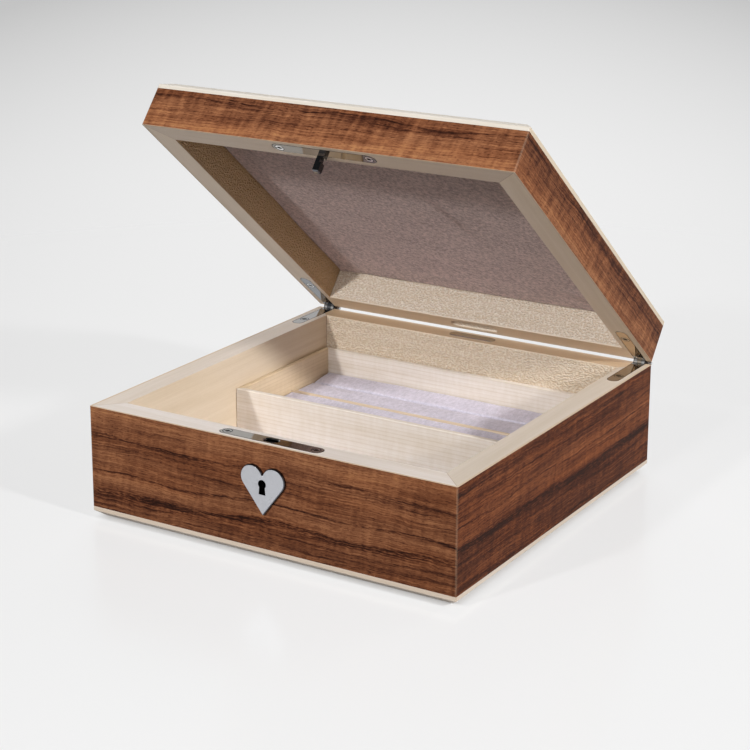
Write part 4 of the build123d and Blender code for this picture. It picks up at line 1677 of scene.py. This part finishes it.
@dataclass
class Hardware:
    """The lock, its catch, the heart and the hinges."""

    heart_face: float = -126.86

    def dress(self) -> None:
        """Dresses every metal piece."""
        bright = Nickel("bright_nickel").material()
        dress(bright, "lock_bolt", "rear_plate", "left_hinge_pin", "right_hinge_pin")
        # Painted reflection: the post's tone is dark.
        dress(Nickel("nickel_post", Seat.LID, tone=(112, 112, 115)).material(), "catch_post")
        plate = Nickel("nickel_lock_plate", tone=(212, 207, 200), outline=LOCK_OUTLINE)
        dress(plate.material(), "lock_plate")
        # Painted reflection: the catch plate's tone is dark and warm, unlike the lock plate's.
        catch = Nickel("nickel_catch_plate", Seat.LID, tone=(128, 120, 110), outline=LOCK_OUTLINE)
        dress(catch.material(), "catch_plate")
        leaves = Nickel("nickel_base_leaves", tone=(198, 196, 194), outline=LEAF_OUTLINE)
        dress(leaves.material(), "left_hinge_base_leaf", "right_hinge_base_leaf")
        # Painted reflection: the left lid leaf is dark grey, the right one warm.
        for side, tone in (("left", (112, 114, 118)), ("right", (190, 178, 162))):
            leaf = Nickel(f"nickel_lid_leaf_{side}", Seat.LID, tone=tone, outline=LEAF_OUTLINE)
            dress(leaf.material(), f"{side}_hinge_lid_leaf")
        for node, seat, outline, recess in (
            ("lock_screws", Seat.BASE, LOCK_OUTLINE, 1.35),
            ("catch_screws", Seat.LID, LOCK_OUTLINE, 1.35),
            ("hinge_base_screws", Seat.BASE, LEAF_OUTLINE, 1.7),
            ("hinge_lid_screws", Seat.LID, LEAF_OUTLINE, 1.7),
        ):
            dress(ScrewNickel(f"nickel_{node}", seat, outline, recess=recess).material(), node)
        heart = Nickel("nickel_heart", satin_in_front_of=self.heart_face).material()
        dress(heart, "heart_escutcheon")
        steel = LockSteel("lock_steel").material()
        dress(steel, "lock_case", "lock_cap", "lock_spring", "lock_studs", "lock_key_pin")


@dataclass(frozen=True)
class Lamp:
    """An area lamp that looks at the middle of the box.

    Its level is the light it throws on a face square to it, where 1 shows a colour as written.
    """

    name: str
    travel: tuple[float, float, float]
    distance: float
    width: float
    height: float
    level: float
    in_gloss: bool = True

    TARGET = Vector((0.0, 0.0, 0.09))

    def hang(self) -> None:
        """Hangs the lamp back along its light's travel, and sets its energy for its level."""
        way = Vector(self.travel).normalized()
        data = bpy.data.lights.new(self.name, "AREA")
        data.shape = "RECTANGLE"
        data.size, data.size_y = self.width, self.height
        data.energy = self.level * (math.pi * self.distance) ** 2
        lamp = bpy.data.objects.new(self.name, data)
        lamp.visible_glossy = self.in_gloss
        bpy.context.scene.collection.objects.link(lamp)
        turned = way.to_track_quat("-Z", "Y").to_matrix().to_4x4()
        lamp.matrix_world = Matrix.Translation(self.TARGET - way * self.distance) @ turned


@dataclass
class Studio:
    """The table, the light and the camera."""

    eye: tuple[float, float, float] = (0.6081, -0.9976, 0.45928)
    heading: float = math.radians(-31.511)
    dip: float = math.radians(15.562)
    roll: float = math.radians(0.179)
    focal_pixels: float = 2008.1
    image_pixels: float = 750.0
    sensor: float = 36.0
    shift: float = -0.12
    table_rings: tuple[float, ...] = (0.3, 0.8, 2.0, 4.0, 7.0)
    table_corners: int = 64
    table_sink: float = 0.0002
    glow_level: float = 0.989
    glow_deep: float = 0.0631
    glow_wide: float = 0.5785
    glow_middle: tuple[float, float] = (0.0474, 0.540)
    glow_least: float = 0.55
    glow_start: tuple[float, float] = (300.0, 1100.0)
    # The band round the box's foot where shade is painted, in millimetres from the middle.
    foot: tuple[float, float] = (120.0, 126.0)
    fill: float = 0.02

    TABLE = (0.92, 0.92, 0.92, 1.0)
    BOUNCE = (0.18, 0.18, 0.18, 1.0)
    BACKDROP = (
        (0.0, tint(204, 204, 204)),
        (0.3, tint(196, 196, 196)),
        (0.55, tint(84, 84, 84)),
        (1.0, tint(26, 26, 26)),
    )
    LAMPS = (
        Lamp("lamp_front_left", (0.53, 1.92, -1.0), 2.4, 0.14, 0.14, 0.50),
        Lamp("lamp_front_right", (0.0, 0.958, -0.62), 2.4, 0.16, 1.3, 0.30),
        Lamp("lamp_right", (-0.978, 0.135, -0.473), 2.4, 0.18, 0.18, 0.80),
        Lamp("lamp_back_left", (0.55, -0.83, -0.36), 2.6, 1.3, 1.3, 0.38, in_gloss=False),
        Lamp("lamp_back_right", (-0.45, -0.89, -0.36), 2.6, 1.3, 1.3, 0.24, in_gloss=False),
    )

    def build(self) -> None:
        """Sets the table, the world, the lamps and the camera."""
        self.table()
        self.world()
        for lamp in self.LAMPS:
            lamp.hang()
        self.camera()
        bpy.context.scene.view_settings.view_transform = "Standard"

    def table(self) -> None:
        """Makes a round table with a soft sheen that fades into the pale backdrop.

        Formula: rings of a disc, each point the ring's radius at its angle.
        """
        corners = self.table_corners
        radii = np.array(self.table_rings)
        angle = np.linspace(0, 2 * math.pi, corners, endpoint=False)
        ring = np.stack([np.cos(angle), np.sin(angle), np.zeros(corners)], axis=1)
        points = (radii[:, None, None] * ring).reshape(-1, 3)
        points = np.concatenate([np.zeros((1, 3)), points]) - [0.0, 0.0, self.table_sink]
        index = 1 + np.arange(len(radii) * corners).reshape(-1, corners)
        after = np.roll(index, -1, axis=1)
        middle = np.stack([np.zeros(corners, int), index[0], after[0]], axis=1)
        quads = np.stack([index[:-1], index[1:], after[1:], after[:-1]], axis=2).reshape(-1, 4)
        mesh = bpy.data.meshes.new("table")
        mesh.from_pydata(points.tolist(), [], middle.tolist() + quads.tolist())
        table = bpy.data.objects.new("table", mesh)
        bpy.context.scene.collection.objects.link(table)
        clothe(table, self._table_finish())

    def _table_finish(self) -> bpy.types.Material:
        """Makes the table's finish: near white with a soft gloss, a fading glow far off, and painted
        shade in a band round the box's foot.

        Formula: the glow is its level, less the squares of a point's distances behind and beside the
        brightest place, each times its own fall.

        Returns:
            The material.
        """
        board = Board.named("pale_table")
        x, y, _ = board.place()
        cosine, sine = math.cos(self.heading), math.sin(self.heading)
        deep = y * cosine + x * sine
        wide = x * cosine - y * sine
        seen = self._seen(board)
        beside_middle = wide * MM - self.glow_middle[0]
        behind_middle = deep * MM - self.glow_middle[1]
        glow = self.glow_level - behind_middle**2.0 * self.glow_deep
        glow = glow - beside_middle**2.0 * self.glow_wide
        glow = board.mix(glow.at_least(self.glow_least), BLACK, WHITE)
        reach = ((x**2.0 + y**2.0) ** 0.5).rise(*self.glow_start) * 0.25 + 0.75
        # Painted shade: near the box's foot less glow and more of the lit table show, darkening a band
        # there on top of the lit table's real shadow.
        beside = abs(x).at_least(abs(y)).rise(*self.foot) * 0.7 + 0.3
        bounce = board.mix(seen, self.BOUNCE, self.TABLE)
        lit = board.node("ShaderNodeBsdfDiffuse", None, {"Color": bounce})
        glowing = board.node("ShaderNodeEmission", None, {"Color": glow, "Strength": 1.0})
        matt = board.node("ShaderNodeMixShader", None, {0: reach * beside * seen, 1: lit, 2: glowing})
        gloss = board.node("ShaderNodeBsdfGlossy", None, {"Color": WHITE, "Roughness": 0.2})
        share = board.node("ShaderNodeFresnel", None, {"IOR": 1.33}) * seen
        return board.close(board.node("ShaderNodeMixShader", None, {0: share, 1: matt, 2: gloss}))

    @staticmethod
    def _seen(board: Board) -> Wire:
        """Says whether a ray comes from the camera, from gloss or through glass.

        Args:
            board: The board of the material or the world that the ray meets.

        Returns:
            0 or 1.
        """
        camera = board.node("ShaderNodeLightPath", outlet="Is Camera Ray")
        gloss, glass = camera.other("Is Glossy Ray"), camera.other("Is Transmission Ray")
        return camera.at_least(gloss).at_least(glass)

    def world(self) -> None:
        """Fills the room with soft light, and shows a pale backdrop to the camera and to gloss."""
        world = bpy.data.worlds.new("studio")
        bpy.context.scene.world = world
        board = Board(world)
        seen = self._seen(board)
        soft = board.node("ShaderNodeBackground", None, {"Color": WHITE, "Strength": self.fill})
        way = board.node("ShaderNodeTexCoord", outlet="Generated")
        up = board.node("ShaderNodeSeparateXYZ", None, {0: way}, "Z")
        backdrop = board.node("ShaderNodeValToRGB", {"stops": self.BACKDROP}, {"Fac": up}, "Color")
        shown = board.node("ShaderNodeBackground", None, {"Color": backdrop, "Strength": 1.0})
        board.close(board.node("ShaderNodeMixShader", None, {0: seen, 1: soft, 2: shown}))

    def camera(self) -> None:
        """Sets the camera: above the table at the front right, turned to the left and dipped."""
        sin_h, cos_h = math.sin(self.heading), math.cos(self.heading)
        sin_d, cos_d = math.sin(self.dip), math.cos(self.dip)
        forward = Vector((sin_h * cos_d, cos_h * cos_d, -sin_d))
        level = Vector((cos_h, -sin_h, 0.0))
        upright = level.cross(forward)
        right = level * math.cos(self.roll) + upright * math.sin(self.roll)
        up = upright * math.cos(self.roll) - level * math.sin(self.roll)
        data = bpy.data.cameras.new("camera")
        data.sensor_width = self.sensor
        data.lens = self.focal_pixels / self.image_pixels * self.sensor
        data.shift_y = self.shift
        camera = bpy.data.objects.new("camera", data)
        bpy.context.scene.collection.objects.link(camera)
        axes = Matrix((right, up, -forward)).transposed()
        camera.matrix_world = Matrix.Translation(Vector(self.eye)) @ axes.to_4x4()
        bpy.context.scene.camera = camera


def main() -> None:
    """Builds the studio and dresses the box, one sub-assembly after another."""
    logging.basicConfig(level=logging.INFO, format="%(message)s")
    Studio().build()
    base, tray, lid = CaseBase(), Tray(), Lid()
    base.dress()
    base.line()
    tray.dress()
    tray.stuff()
    lid.dress()
    lid.stuff()
    Hardware().dress()


if __name__ == "__main__":
    main()
